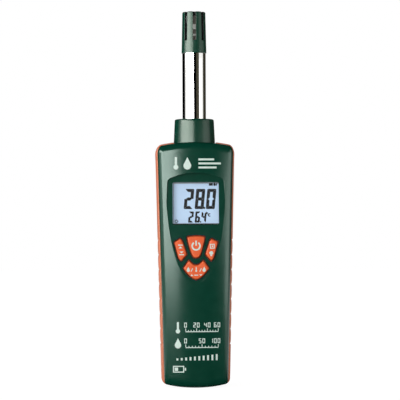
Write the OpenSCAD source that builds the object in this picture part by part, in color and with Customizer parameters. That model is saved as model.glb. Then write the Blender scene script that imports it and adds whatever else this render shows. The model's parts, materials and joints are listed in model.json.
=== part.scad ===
// Hand-held digital psychrometer: a tapered case with a keypad and a display, side grips,
// a steel probe tube in a collar, and a slotted guard over the humidity and temperature sensors.
// Millimetres. Z runs up along the probe, the face looks towards -Y, X is to the right of the face.
// The origin is on the foot, in the middle of the case.

/* [Case] */
// Overall height, from the foot to the tip of the sensor guard
total_h = 225; // [215:1:240]
// Height of the shoulder above the face panel
brow_h = 18.4; // [18:0.1:26]
// Width of the case without the grips, carried on to the shoulder line
top_w = 45.4; // [44.2:0.1:49]
// Width of the case without the grips, carried on to the foot line
foot_w = 37.9; // [37.3:0.1:43]
// Radius of the arched shoulder
shoulder_r = 100; // [90:5:200]
// Radius of the arched foot
foot_r = 78; // [70:2:200]
// Thickness of the case walls
wall = 2; // [1.6:0.1:2.4]
// Thickness of the face at its crown
face_wall = 3.2; // [3:0.1:3.6]
// How much higher the middle of the face is than its long edges
crown = 1.3; // [0.8:0.1:2]
// Rounding of the face's long edges
face_edge_r = 3; // [2:0.25:4]
// Rounding of the back's long edges
back_edge_r = 5; // [3.5:0.25:6]
// Rounding of the shoulder and foot edges
end_edge_r = 4.3; // [3.6:0.1:5.2]
// Width over which the case's four corners round off, seen from the front
corner_w = 2.5; // [2:0.1:4.5]
// Depth of the front half, from the face to the joint between the halves
front_half_d = 12.5; // [12:0.25:13]

/* [Side grips] */
// How far the grips stand out of the sides, at the shoulder
grip_top_out = 0.85; // [0.6:0.05:2]
// How far the grips stand out of the sides, at the foot
grip_foot_out = 1.1; // [0.8:0.05:2]
// How far the grips stand out of the shoulder
grip_brow_out = 0.7; // [0:0.05:1]
// How deep the grips sit in the case walls
grip_sink = 0.8; // [0.4:0.1:1]
// Distance of the grips' front edge behind the face
grip_front = 6; // [5:0.25:8]
// Width of the grips, from front to back
grip_w = 17; // [13:0.5:18]
// Height of the lowest notch in the grips
notch_z = 26.1; // [20:0.5:30]
// Distance between the notches
notch_pitch = 8.84; // [7:0.1:9.5]
// Number of finger pads between the notches
pad_count = 7; // [3:1:8]
// How much each finger pad falls off towards its notches
pad_fall = 0.35; // [0:0.05:0.5]
// Depth of each notch
notch_depth = 0.6; // [0.2:0.1:0.7]

/* [Face panel] */
// Height of the panel's lower tip above the foot
panel_z = 62.2; // [61.9:0.1:63]
// Height of the panel above the display opening
panel_margin = 5.6; // [4.5:0.1:6]
// Greatest width of the panel
panel_w = 35; // [33:0.5:36]
// Depth of the panel's sloping floor at its upper edge
panel_drop = 1.9; // [1.5:0.1:2.2]
// Depth of the panel's floor at its lower tip
panel_tip_drop = 0.3; // [0.1:0.05:0.5]

/* [Display] */
// Gap between the display holder and the side walls
holder_side_gap = 2; // [0.6:0.02:3]
// Height of the opening over the display
opening_h = 25.2; // [24:0.1:27]
// Gap between the display holder and the power key's rim
holder_key_gap = 0.95; // [0.35:0.05:2]
// Thickness of the clear window
window_t = 0.8; // [0.6:0.1:1]
// Border of the window, glued behind the opening
window_border = 1.6; // [1:0.1:2]
// Thickness of the foam gasket behind the window
gasket_t = 0.3; // [0.2:0.05:0.4]
// Thickness of each of the two display glasses
glass_t = 1.1; // [0.7:0.1:1.1]
// Width of the contact ledge above and below the rear glass
glass_ledge = 2.5; // [2:0.1:3]

/* [Keys] */
// Travel of a key
key_travel = 0.8; // [0.5:0.1:0.9]
// How far the keys stand out of the panel
key_raise = 0.7; // [0.4:0.1:1]
// Gap round a key
key_gap = 0.5; // [0.3:0.05:0.6]
// Width of the rim that holds a key behind the face
key_rim = 1; // [0.8:0.05:1.1]
// Thickness of that rim
key_rim_t = 1; // [0.8:0.1:1.2]
// Radius of a key's carbon contact
contact_r = 2; // [1.5:0.1:2.2]

/* [Probe] */
// Outer diameter of the steel tube
tube_d = 14.1; // [12:0.1:14.2]
// Wall of the steel tube
tube_t = 0.6; // [0.4:0.1:0.9]
// Height of the collar above the shoulder
collar_h = 14.1; // [10:0.1:18]
// Diameter of the collar at its foot
collar_foot_d = 24.9; // [23:0.1:25.2]
// Diameter of the collar at its top
collar_top_d = 23.5; // [20:0.1:24]
// Height of the sensor guard
guard_h = 24.8; // [22:0.2:30]
// How far the guard stands out past the tube
guard_lip = 0.45; // [0.2:0.05:0.8]
// How much the guard narrows towards its tip, at its radius
guard_taper = 0.5; // [0.2:0.05:0.8]
// Number of slots in the guard
slot_count = 8; // [4:1:8]
// Width of a slot
slot_w = 1.9; // [1.2:0.1:2.2]
// Height of the plain ring below the slots
guard_ring_h = 7.5; // [6:0.1:9]

/* [Battery] */
// Width of the battery
battery_w = 26.5; // [25:0.1:26.6]
// Thickness of the battery
battery_t = 17.5; // [16:0.1:17.5]
// Height of the battery without its studs
battery_h = 46.4; // [44:0.1:46.6]
// How far the battery door reaches past the bay at each side
door_margin = 1.15; // [0.8:0.05:1.3]
// Sliding gap round the battery door
door_gap = 0.3; // [0.2:0.05:0.4]

/* [Board] */
// Gap between the main board and the side walls
board_side_gap = 1.05; // [0.5:0.05:2]
// Thickness of the main board
board_t = 1.6; // [1.2:0.1:1.6]
// Gap between the inside of the face and the main board
board_gap = 3.4; // [3.3:0.05:3.6]

/* [Hidden] */

green = [0.02, 0.24, 0.17];
orange = [0.93, 0.38, 0.14];
steel = [0.75, 0.76, 0.78];
dark = [0.12, 0.12, 0.13];
pale = [0.9, 0.9, 0.88];

// Depths, from the face at the front to the back. The battery in its bay sets the depth of the back half.
bay_wall = 1.2;
battery_gap = 0.5;
battery_slack = 0.1;
door_slack = 0.3;
door_pad_t = 0.4;
case_d = front_half_d + bay_wall + battery_slack + battery_t + door_slack + door_pad_t + wall;
front_y = -case_d / 2;
back_y = case_d / 2;
joint_y = front_y + front_half_d;
inner_y = front_y + face_wall;
board_y = inner_y + board_gap;
board_back_y = board_y + board_t;
end_wall = wall + 1;
far = 100;

// Heights of the display holder, the opening, the panel and the shoulder, each from the one below it
power_top = 28;
glass_border = 2.2;
holder_wall = 1.2;
holder_gap = 0.15;
rear_glass_h = opening_h + glass_border;
glass_h = rear_glass_h + 2 * glass_ledge;
holder_h = glass_h + 2 * (holder_gap + holder_wall);
holder_z = panel_z + power_top + key_rim + holder_key_gap;
opening_mid_z = holder_z + holder_h / 2;
opening_z = opening_mid_z - opening_h / 2;
panel_h = opening_z + opening_h + panel_margin - panel_z;
case_h = panel_z + panel_h + brow_h;

// Outline of the case, seen from the front, and how far the grips stand out of its sides
function half_w(z) = (foot_w + (top_w - foot_w) * z / case_h) / 2;
function grip_out(z) = grip_foot_out + (grip_top_out - grip_foot_out) * z / case_h;
function shoulder(x) = case_h - x * x / (2 * shoulder_r);
function foot(x) = x * x / (2 * foot_r);
function inner_half(z) = half_w(z) - wall;
end_step = 15;
arch_steps = 6;

// Right half of an outline at an inset, from the middle of the foot to the middle of the shoulder.
// It is the outline of the case where held is 0, and of the grips with their finger pads where it is 1.
function outline_side(inset, held) = let (
    r = max(end_edge_r + held * grip_top_out - inset, 1),
    corner = max(corner_w + held * grip_top_out - inset, 1),
    low_w = half_w(end_edge_r) + held * grip_foot_out - inset,
    high_w = half_w(case_h - end_edge_r) + held * grip_top_out - inset,
    rise = held * grip_brow_out - inset
) [
    for (i = [0:arch_steps - 1]) let (x = (low_w - corner) * i / arch_steps) [x, foot(x) + inset],
    for (a = [90:-end_step:0])
        let (x = low_w - corner * (1 - cos(a))) [x, foot(x) + inset + r * (1 - sin(a))],
    if (held > 0) for (i = [0:pad_count - 1], u = pad_stops)
        let (z = notch_z + (i + u) * notch_pitch) [half_w(z) + grip_out(z) - inset - pad_dip(u), z],
    for (a = [0:end_step:90])
        let (x = high_w - corner * (1 - cos(a))) [x, shoulder(x) + rise - r * (1 - sin(a))],
    for (i = [arch_steps - 1:-1:0]) let (x = (high_w - corner) * i / arch_steps) [x, shoulder(x) + rise]
];
pad_stops = [0, 0.04, 0.08, 0.2, 0.35, 0.5, 0.65, 0.8, 0.92, 0.96];
function pad_dip(u) = u == 0 ? notch_depth : pad_fall * pow(abs(2 * u - 1), 4);
function mirrored(half) = concat(half, [for (i = [len(half) - 1:-1:0]) [-half[i][0], half[i][1]]]);

// Right half of a level section: crowned front, rounded edge, straight side, rounded edge, flat back
crown_steps = 5;
edge_step = 18;
function level_half(w, front, back, rise, front_r, back_r) = let (tilt = atan(2 * rise / (w - front_r))) [
    for (i = [0:crown_steps]) let (u = i / crown_steps)
        [u * (w - front_r * (1 - sin(tilt))), front + rise * u * u],
    for (a = [edge_step:edge_step:90])
        [w - front_r * (1 - sin(a)), front + rise + front_r * (cos(tilt) - cos(a))],
    for (a = [0:edge_step:90]) [w - back_r * (1 - cos(a)), back - back_r * (1 - sin(a))]
];

// Points on the skin of a case-shaped solid: each end closes with sections that shrink towards it
function skin(inset, end_inset, front, back, rise, front_r, back_r, end_r, corner) = [
    for (top = [false, true], a = [0:end_step:90])
        let (shrink = end_r * (1 - cos(a)), lift = end_inset + end_r * (1 - sin(a)),
            w = half_w(top ? case_h - end_r : end_r) - inset - corner * (1 - cos(a)))
        for (p = level_half(w, front + shrink, back - shrink, rise, front_r, back_r), side = [-1, 1])
            [side * p[0], p[1], top ? shoulder(p[0]) - lift : foot(p[0]) + lift]
];
module skin_solid(points) {
    hull() polyhedron(points = points, faces = [[for (i = [0:len(points) - 1]) i]]);
}
module case_solid() {
    skin_solid(skin(0, 0, front_y, back_y, crown, face_edge_r, back_edge_r, end_edge_r, corner_w));
}
module cavity() {
    skin_solid(skin(wall, end_wall, inner_y, back_y - wall, 0, 1.5, back_edge_r - wall, 1.5, 1.5));
}

// Draws a flat shape, given as x and z, as a slab from y0 to y1
module slab(y0, y1) {
    translate([0, y1, 0]) rotate([90, 0, 0]) linear_extrude(y1 - y0) children();
}
module box(low, high) {
    translate(low) cube(high - low);
}
module across(x, z, r, y0, y1, facets = 40) {
    translate([x, y1, z]) rotate([90, 0, 0]) cylinder(r = r, h = y1 - y0, $fn = facets);
}
module both_sides() {
    children();
    mirror([1, 0, 0]) children();
}
module rounded(r) {
    offset(r = r, $fn = 24) offset(delta = -r) children();
}

// Side grips
grip_y0 = front_y + grip_front;
grip_y1 = grip_y0 + grip_w;
grip_chamfer = 0.7;
grip_foot_x = 17.3;
collar_seat_r = collar_foot_d / 2 + 0.1;
grip_top_x = collar_seat_r + 0.3;
module grip_ends() {
    translate([-grip_top_x, case_h / 2]) square([2 * grip_top_x, case_h]);
    translate([-grip_foot_x, -case_h / 2]) square([2 * grip_foot_x, case_h]);
}
module grip_shape(inset) {
    difference() {
        polygon(mirrored(outline_side(inset, 1)));
        polygon(mirrored(outline_side(grip_sink, 0)));
        grip_ends();
    }
}
module grip_pair() {
    slab(grip_y0, grip_y1) grip_shape(grip_chamfer);
    slab(grip_y0 + grip_chamfer, grip_y1 - grip_chamfer) grip_shape(0);
}
module grip_channels() {
    slab(grip_y0, grip_y1) difference() {
        translate([-far, -far]) square(4 * far);
        polygon(mirrored(outline_side(grip_sink, 0)));
        grip_ends();
    }
}
module left_grip() {
    color(orange) intersection() {
        grip_pair();
        box([-far, -far, -far], [0, far, 2 * far]);
    }
}
module right_grip() {
    color(orange) intersection() {
        grip_pair();
        box([0, -far, -far], [far, far, 2 * far]);
    }
}

// Shield-shaped panel: its floor starts level with the crown at the lower tip and slopes in from there
panel_tilt = atan((panel_drop - panel_tip_drop) / panel_h);
panel_side = [[0.5, 0.739], [0.466, 0.38], [0.31, 0.008], [0, 0]];
panel_top_x = 0.483;
panel_corner = 0.942;
function bezier(p, t) = pow(1 - t, 3) * p[0] + 3 * t * pow(1 - t, 2) * p[1] + 3 * t * t * (1 - t) * p[2]
    + pow(t, 3) * p[3];
function panel_point(p) = [p[0] * panel_w, p[1] * panel_h];
function panel_half() = [
    for (i = [12:-1:0]) panel_point(bezier(panel_side, i / 12)),
    for (i = [0:6]) let (u = 1 - i / 6) panel_point([panel_top_x * u, 1 - (1 - panel_corner) * u * u])
];
module on_panel(raise = 0) {
    translate([0, front_y + panel_tip_drop - raise, panel_z]) rotate([-panel_tilt, 0, 0]) children();
}
module panel_recess() {
    on_panel() slab(-5, 0) polygon(mirrored(panel_half()));
}
module behind_panel(raise) {
    on_panel(raise) box([-far, 0, -far], [far, far, far]);
}

// Window, display glass and what holds them, from the front to the board
opening_lip = 0.5;
window_y = front_y + panel_drop + opening_lip;
gasket_y = window_y + window_t;
glass_y = gasket_y + gasket_t;
rear_glass_y = glass_y + glass_t;
glass_back_y = rear_glass_y + glass_t;
lit_border = 1;
strip_w = glass_ledge - 0.5;
holder_w = 2 * (inner_half(holder_z) - holder_side_gap);
glass_w = holder_w - 2 * (holder_gap + holder_wall);
opening_w = glass_w - 2 * glass_border;
module plate(w, h, y0, y1, r = 0.5) {
    slab(y0, y1) translate([0, opening_mid_z]) rounded(r) square([w, h], center = true);
}
module display_opening() {
    plate(opening_w, opening_h, front_y - 1, inner_y + 1, 0.8);
    plate(opening_w + 2 * window_border, opening_h + 2 * window_border, window_y, inner_y + 1);
}
module display_window() {
    color([0.85, 0.92, 0.95, 0.35])
        plate(opening_w + 2 * window_border, opening_h + 2 * window_border, window_y, gasket_y);
}
module window_gasket() {
    color(dark) difference() {
        plate(opening_w + 2 * window_border, opening_h + 2 * window_border, gasket_y, glass_y);
        plate(opening_w, opening_h, gasket_y - 1, glass_y + 1);
    }
}
module display_glass() {
    color([0.72, 0.82, 0.9]) {
        plate(glass_w, glass_h, glass_y, rear_glass_y, 0.2);
        plate(glass_w, rear_glass_h, rear_glass_y, glass_back_y, 0.2);
    }
}
module glass_notch() {
    plate(glass_w + 2 * holder_gap, glass_h + 2 * holder_gap, glass_y - 1, board_y + 1, 0.2);
}
module display_holder() {
    color(pale) difference() {
        plate(holder_w, holder_h, inner_y, board_y, 1);
        glass_notch();
    }
}
module zebra_strip(side) {
    z = opening_mid_z + side * (rear_glass_h + glass_ledge) / 2;
    color(dark)
        box([-opening_w / 2, rear_glass_y, z - strip_w / 2], [opening_w / 2, board_y, z + strip_w / 2]);
}
module upper_zebra_strip() {
    zebra_strip(1);
}
module lower_zebra_strip() {
    zebra_strip(-1);
}
module backlight_panel() {
    color(pale) plate(opening_w + 2 * lit_border, rear_glass_h - 1, glass_back_y, board_y, 0.5);
}

// Keys, drawn as x from the middle and z above the panel's tip
power_outline = [[0, power_top], [5.2, 27.6], [4.75, 24.8], [3.9, 21.6], [2.7, 17.7], [1.6, 15.6], [0, 15.2]];
side_outline = [[9.2, 26.5], [12.85, 24.4], [10.4, 15.2], [9, 13.3], [5.65, 17.2], [8.15, 24.85]];
lower_outline = [[0, 10.7], [1.5, 11], [2.8, 12], [4.3, 13.6], [7.5, 8.9], [5.9, 6.8], [3.6, 4.3],
    [1.8, 3], [0, 2.4]];
key_corner = 0.7;
key_edge = 0.35;
power_spot = [0, 22];
side_spot = [9.2, 20];
lower_spot = [0, 7];
module power_shape() {
    rounded(key_corner) polygon(mirrored(power_outline));
}
module right_shape() {
    rounded(key_corner) polygon(side_outline);
}
module left_shape() {
    mirror([1, 0]) right_shape();
}
module lower_shape() {
    rounded(key_corner) polygon(mirrored(lower_outline));
}
rim_y = inner_y + 0.3;
contact_y = rim_y + key_rim_t;
contact_front = 0.2;
contact_back_y = board_y - contact_front - key_travel;
mat_y = contact_y + key_travel + 0.2;
mat_hole_r = contact_r + 0.7;
pad_t = 0.1;
module key_body() {
    intersection() {
        union() {
            slab(front_y - 2, rim_y) translate([0, panel_z]) offset(delta = -key_edge) children();
            intersection() {
                slab(front_y - 2, rim_y) translate([0, panel_z]) children();
                behind_panel(key_raise - key_edge);
            }
        }
        behind_panel(key_raise);
    }
    slab(rim_y, contact_y) translate([0, panel_z]) offset(delta = key_rim) children();
}
module key_opening() {
    slab(front_y - 2, inner_y + 1) translate([0, panel_z]) offset(delta = key_gap) children();
}
module key_contact(spot) {
    across(spot[0], panel_z + spot[1], contact_r, contact_y, contact_back_y);
}
module power_key() {
    color(orange) key_body() power_shape();
}
module left_key() {
    color(orange) key_body() left_shape();
}
module right_key() {
    color(orange) key_body() right_shape();
}
module lower_key() {
    color(orange) key_body() lower_shape();
}
module power_contact() {
    color(dark) key_contact(power_spot);
}
module left_contact() {
    color(dark) key_contact([-side_spot[0], side_spot[1]]);
}
module right_contact() {
    color(dark) key_contact(side_spot);
}
module lower_contact() {
    color(dark) key_contact(lower_spot);
}
module at_spots(spread = 1) {
    for (spot = [power_spot, side_spot, [-side_spot[0], side_spot[1]], lower_spot])
        translate([spot[0], 0, panel_z + spot[1]]) children();
}

// Fasteners: four screws from the back close the case, and four short ones hold the board to the face
screw_r = 1.5;
screw_head_r = 2.7;
screw_head_h = 2.2;
screw_seat_y = joint_y + 10.5;
screw_tip_y = inner_y + 3.5;
head_bore_r = screw_head_r + 0.4;
rear_boss_r = head_bore_r + 1.1;
front_boss_r = 3.1;
board_screw_r = 1;
board_head_r = 2;
board_post_r = 2.2;
boss_inset = 3.95;
post_inset = 3.3;
board_z0 = panel_z + 3.2;
board_w = 2 * (inner_half(board_z0) - board_side_gap);
upper_post = [board_w / 2 - post_inset, holder_z + holder_h + board_head_r + 0.3];
lower_post = [board_w / 2 - post_inset, panel_z + 11.2];
board_z1 = upper_post[1] + board_head_r + 0.7;
upper_screw_z = board_z1 + front_boss_r + 0.65;
lower_screw_z = panel_z + 3.9;
upper_screw = [inner_half(upper_screw_z) - boss_inset, upper_screw_z];
lower_screw = [inner_half(lower_screw_z) - boss_inset, lower_screw_z];
case_screw_spots = [upper_screw, lower_screw];
board_screw_spots = [upper_post, lower_post];
module cross_recess(x, z, y, size) {
    for (turn = [0, 90])
        translate([x, y, z]) rotate([0, turn, 0]) cube([size, 1.2, size / 5], center = true);
}
module case_screws() {
    color(steel) both_sides() for (p = case_screw_spots) difference() {
        union() {
            across(p[0], p[1], screw_r, screw_tip_y, screw_seat_y, 24);
            across(p[0], p[1], screw_head_r, screw_seat_y, screw_seat_y + screw_head_h, 32);
        }
        cross_recess(p[0], p[1], screw_seat_y + screw_head_h, 3.2);
    }
}
module board_screws() {
    color(steel) both_sides() for (p = board_screw_spots) difference() {
        union() {
            across(p[0], p[1], board_screw_r, inner_y + 0.5, board_back_y, 24);
            across(p[0], p[1], board_head_r, board_back_y, board_back_y + 1.2, 32);
        }
        cross_recess(p[0], p[1], board_back_y + 1.2, 2.2);
    }
}

// Probe: the collar's flange is held between the case halves, and the tube's flange under the collar
collar_z = shoulder(collar_foot_d / 2) - 0.4;
collar_top_z = case_h + collar_h;
collar_edge = 0.8;
neck_r = collar_foot_d / 2 - 1.9;
flange_z = collar_z - 4.1;
flange_t = 2.6;
flange_r = collar_foot_d / 2 + 0.1;
tube_r = tube_d / 2;
bore_r = tube_r - tube_t;
tube_lip_t = 1.2;
tube_low_z = flange_z - flange_t - tube_lip_t;
guard_z = total_h - guard_h;
spigot_h = 6;
module probe_collar() {
    color(green) rotate_extrude($fn = 72) polygon([
        [tube_r, flange_z - flange_t], [flange_r, flange_z - flange_t], [flange_r, flange_z],
        [neck_r, flange_z], [neck_r, collar_z], [collar_foot_d / 2, collar_z],
        [collar_top_d / 2, collar_top_z - collar_edge],
        [collar_top_d / 2 - 0.3 * collar_edge, collar_top_z - 0.3 * collar_edge],
        [collar_top_d / 2 - collar_edge, collar_top_z], [tube_r, collar_top_z]
    ]);
}
module probe_tube() {
    color(steel) rotate_extrude($fn = 72) polygon([
        [bore_r, tube_low_z], [tube_r + 1.6, tube_low_z], [tube_r + 1.6, tube_low_z + tube_lip_t],
        [tube_r, tube_low_z + tube_lip_t], [tube_r, guard_z], [bore_r, guard_z]
    ]);
}
module collar_room() {
    translate([0, 0, flange_z - flange_t]) cylinder(r = flange_r + 0.1, h = flange_t, $fn = 72);
    translate([0, 0, collar_z]) cylinder(r = collar_seat_r, h = far, $fn = 72);
    translate([0, 0, flange_z - 1]) cylinder(r = neck_r, h = far, $fn = 72);
}
module collar_seat() {
    translate([0, 0, flange_z - flange_t])
        cylinder(r = flange_r + 1, h = case_h - flange_z + flange_t, $fn = 72);
}

// Sensor guard, with a spigot in the tube and fingers that join in a disc at the tip
guard_wall = 1.4;
guard_roof = 1.8;
guard_edge = 0.5;
guard_bore_r = bore_r - 1.1;
guard_foot_r = tube_r + guard_lip;
guard_tip_r = guard_foot_r - guard_taper;
finger_bore_r = guard_tip_r - guard_wall;
module sensor_guard() {
    color(green) difference() {
        rotate_extrude($fn = 72) polygon([
            [guard_bore_r, guard_z - spigot_h], [bore_r, guard_z - spigot_h], [bore_r, guard_z],
            [guard_foot_r, guard_z], [guard_tip_r, total_h - guard_edge],
            [guard_tip_r - guard_edge, total_h], [0, total_h], [0, total_h - guard_roof],
            [finger_bore_r, total_h - guard_roof], [finger_bore_r, guard_z + guard_ring_h],
            [guard_bore_r, guard_z + guard_ring_h - 1]
        ]);
        for (i = [0:slot_count - 1]) rotate([0, 0, 270 + 360 * i / slot_count])
            box([finger_bore_r - 0.3, -slot_w / 2, guard_z + guard_ring_h], [far, slot_w / 2, total_h + 1]);
    }
}
sensor_board_w = 7;
sensor_board_t = 0.8;
sensor_board_z = guard_z - 4;
sensor_board_top = total_h - guard_roof - 0.2;
sensor_front = -sensor_board_t / 2;
element_z = total_h - 10.2;
thermistor_z = element_z - 4;
module sensor_board() {
    color([0.62, 0.66, 0.64])
        box([-sensor_board_w / 2, sensor_front, sensor_board_z],
            [sensor_board_w / 2, -sensor_front, sensor_board_top]);
}
module humidity_element() {
    color(pale) box([-1.5, sensor_front - 1.1, element_z], [1.5, sensor_front, element_z + 3]);
}
module thermistor() {
    color(pale) box([-1, sensor_front - 0.8, thermistor_z], [1, sensor_front, thermistor_z + 1.2]);
}

// Main board with its chips, and the sockets on it
notch_x = lower_screw[0] - front_boss_r - 0.5;
notch_top = lower_screw[1] + front_boss_r + 0.5;
module main_board() {
    color([0.1, 0.4, 0.22]) difference() {
        slab(board_y, board_back_y) difference() {
            translate([-board_w / 2, board_z0]) square([board_w, board_z1 - board_z0]);
            for (side = [-1, 1]) translate([side * (notch_x + 10), board_z0])
                square([20, 2 * (notch_top - board_z0)], center = true);
        }
        both_sides() for (p = board_screw_spots)
            across(p[0], p[1], board_screw_r, board_y - 1, board_back_y + 1, 24);
    }
}
module contact_pads() {
    color([0.85, 0.68, 0.25]) at_spots() across(0, 0, contact_r, board_y - pad_t, board_y);
}
module keypad_mat() {
    mat_w = 26.4;
    color([0.35, 0.35, 0.36]) difference() {
        box([-mat_w / 2, mat_y, board_z0 + 1], [mat_w / 2, board_y, opening_mid_z - holder_h / 2 - 0.5]);
        at_spots() across(0, 0, mat_hole_r, mat_y - 1, board_y + 1);
        both_sides() for (p = [lower_screw, lower_post])
            across(p[0], p[1], front_boss_r + 0.4, mat_y - 1, board_y + 1);
    }
}
module on_board(x, z, w, h, t) {
    box([x - w / 2, board_back_y, z - h / 2], [x + w / 2, board_back_y + t, z + h / 2]);
}
module leg_row(x, z, count, pitch, span) {
    for (i = [0:count - 1]) on_board(x, z + (i - (count - 1) / 2) * pitch, span, pitch / 2, 0.4);
}
controller_z = opening_mid_z - 6;
controller_w = 10;
leg_reach = 1;
module microcontroller() {
    color(dark) {
        on_board(0, controller_z, controller_w, controller_w, 1.6);
        leg_row(0, controller_z, 9, controller_w / 10, controller_w + 2 * leg_reach);
    }
}
amplifier_x = 9;
amplifier_z = opening_mid_z + 6;
amplifier_w = 4;
amplifier_h = 5;
module amplifier_chip() {
    color(dark) {
        on_board(amplifier_x, amplifier_z, amplifier_w, amplifier_h, 1.5);
        leg_row(amplifier_x, amplifier_z, 4, amplifier_h / 4, amplifier_w + 2 * leg_reach);
    }
}
crystal_x = -10.5;
crystal_w = 4;
crystal_h = 10.5;
crystal_t = 3.2;
module crystal() {
    color(steel) slab(board_back_y, board_back_y + crystal_t) translate([crystal_x, controller_z])
        rounded(0.4 * crystal_w) square([crystal_w, crystal_h], center = true);
}
capacitor_x = -9;
capacitor_z = opening_mid_z - 26;
capacitor_r = 3.1;
capacitor_h = 6.5;
module capacitors() {
    color([0.18, 0.2, 0.3]) for (side = [-1, 1]) let (z = capacitor_z + side * (capacitor_r + 0.9))
        across(capacitor_x, z, capacitor_r, board_back_y, board_back_y + capacitor_h);
}
resistor_x = 11.5;
resistor_z = opening_mid_z - 4;
resistor_w = 2.4;
resistor_pitch = 3;
module resistors() {
    color(dark) for (i = [0:3])
        on_board(resistor_x, resistor_z - i * resistor_pitch, resistor_w, 0.4 * resistor_pitch, 0.6);
}
socket_w = 10.4;
socket_d = 5.8;
socket_h = 8;
socket_wall = 0.6;
socket_floor = 3;
plug_h = 11;
plug_gap = 0.1;
socket_z = opening_mid_z + 6.7;
plug_z = socket_z + socket_floor;
plug_y = board_back_y + socket_wall;
plug_mid_y = board_back_y + socket_d / 2;
module socket_room(gap) {
    box([-socket_w / 2 + socket_wall + gap, plug_y + gap, plug_z],
        [socket_w / 2 - socket_wall - gap, plug_y + socket_d - 2 * socket_wall - gap, plug_z + plug_h]);
}
module sensor_socket() {
    color(pale) difference() {
        on_board(0, socket_z + socket_h / 2, socket_w, socket_h, socket_d);
        socket_room(0);
    }
}
module sensor_plug() {
    color(pale) socket_room(plug_gap);
}

// Wires, swept along routes of points chosen by hand
wire_sides = 8;
cable_r = 1.2;
lead_r = 0.7;
function unit(v) = v / norm(v);
function tangent(p, i) = unit(p[min(i + 1, len(p) - 1)] - p[max(i - 1, 0)]);
function ring(p, i, r) = let (t = tangent(p, i), u = unit([1, 0, 0] - t[0] * t), v = cross(t, u))
    [for (k = [0:wire_sides - 1]) let (a = 360 * k / wire_sides) p[i] + r * (cos(a) * u + sin(a) * v)];
module wire(p, r) {
    n = wire_sides;
    last = len(p) - 1;
    polyhedron(
        points = [for (i = [0:last]) each ring(p, i, r)],
        faces = [
            [for (k = [0:n - 1]) k],
            for (i = [0:last - 1], k = [0:n - 1])
                each let (a = i * n + k, b = i * n + (k + 1) % n) [[a, a + n, b + n], [a, b + n, b]],
            [for (k = [n - 1:-1:0]) last * n + k]
        ]
    );
}
cable_low_z = plug_z + plug_h;
function cable_z(u) = cable_low_z + u * (sensor_board_z - cable_low_z);
cable_route = [[0, 0, cable_z(1)], [0, 0, cable_z(0.95)], [0.4, 0.3, cable_z(0.82)],
    [0.8, 0.6, cable_z(0.66)], [0.2, 0.2, cable_z(0.5)], [-0.6, -0.4, cable_z(0.38)],
    [-0.3, 0.15 * plug_mid_y, cable_z(0.28)], [0, 0.34 * plug_mid_y, cable_z(0.2)],
    [0, 0.6 * plug_mid_y, cable_z(0.14)], [0, 0.85 * plug_mid_y, cable_z(0.08)],
    [0, plug_mid_y, cable_z(0.03)], [0, plug_mid_y, cable_z(0)]];
module sensor_cable() {
    color(dark) wire(cable_route, cable_r);
}

// Battery bay in the rear half, with the battery, its snap and the door that slides off downwards
bay_y = joint_y + bay_wall;
battery_y = bay_y + battery_slack;
battery_z = 8;
battery_mid_y = battery_y + battery_t / 2;
stud_z = battery_z + battery_h;
stud_h = 2.4;
stud_x = 12.7 / 2;
plus_stud_r = 2.8;
minus_stud_r = 4;
snap_z = stud_z + 0.2;
snap_h = 4.6;
snap_w = 25.6;
snap_d = 12.6;
bay_half = battery_w / 2 + battery_gap;
bay_z = battery_z - 0.8;
bay_top = snap_z + snap_h + 1;
door_w = 2 * (bay_half + door_margin);
door_h = bay_top - 1.8;
door_y = back_y - wall;
tongue_w = 1.3;
tongue_t = 0.9;
tongue_y = door_y - tongue_t;
tongue_overlap = 1;
tongue_z = wall + 2.5;
door_lift = 0.3;
rib_count = 5;
rib_pitch = 1.8;
rib_groove = 0.9;
rib_depth = 0.5;
rib_half = 7;
rib_z = door_h - 11;
pad_half = 9;
pad_margin = 7;
module battery() {
    color([0.2, 0.2, 0.22]) {
        slab(battery_y, battery_y + battery_t) translate([-battery_w / 2, battery_z])
            rounded(1) square([battery_w, battery_h]);
        translate([stud_x, battery_mid_y, stud_z]) cylinder(r = plus_stud_r, h = stud_h, $fn = 32);
        translate([-stud_x, battery_mid_y, stud_z]) cylinder(r = minus_stud_r, h = stud_h, $fn = 32);
    }
}
module battery_snap() {
    color(dark) difference() {
        box([-snap_w / 2, battery_mid_y - snap_d / 2, snap_z],
            [snap_w / 2, battery_mid_y + snap_d / 2, snap_z + snap_h]);
        translate([stud_x, battery_mid_y, snap_z - 1])
            cylinder(r = plus_stud_r + 0.1, h = stud_h + 1.2, $fn = 32);
        translate([-stud_x, battery_mid_y, snap_z - 1])
            cylinder(r = minus_stud_r + 0.1, h = stud_h + 1.2, $fn = 32);
    }
}
lead_z = snap_z + snap_h;
lead_y = battery_mid_y - snap_d / 2 + 1.2;
lead_room = 1.2;
lead_rise = 16;
lead_out = 2;
lead_x = 3;
lead_spread = 1.3;
lead_end_z = lead_z + lead_rise;
function lead_route(x) = [[x, lead_y, lead_z], [x, lead_y, lead_z + lead_rise / 6],
    [x * (1 + lead_spread) / 2, (7 * lead_y + board_back_y) / 8, lead_z + lead_rise * 0.4],
    [x * lead_spread, (3 * lead_y + board_back_y) / 4, lead_z + lead_rise * 0.65],
    [x * lead_spread, (lead_y + board_back_y) / 2, lead_end_z - lead_out],
    [x * lead_spread, board_back_y + lead_out, lead_end_z], [x * lead_spread, board_back_y, lead_end_z]];
module red_lead() {
    color([0.75, 0.08, 0.06]) wire(lead_route(lead_x), lead_r);
}
module black_lead() {
    color([0.05, 0.05, 0.05]) wire(lead_route(-lead_x), lead_r);
}
module door_room(gap) {
    box([-door_w / 2 - gap, door_y - gap, -far], [door_w / 2 + gap, far, door_h + gap]);
    box([-door_w / 2 - tongue_w - gap, tongue_y - gap, -far],
        [door_w / 2 + tongue_w + gap, door_y + gap, door_h + gap]);
}
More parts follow.
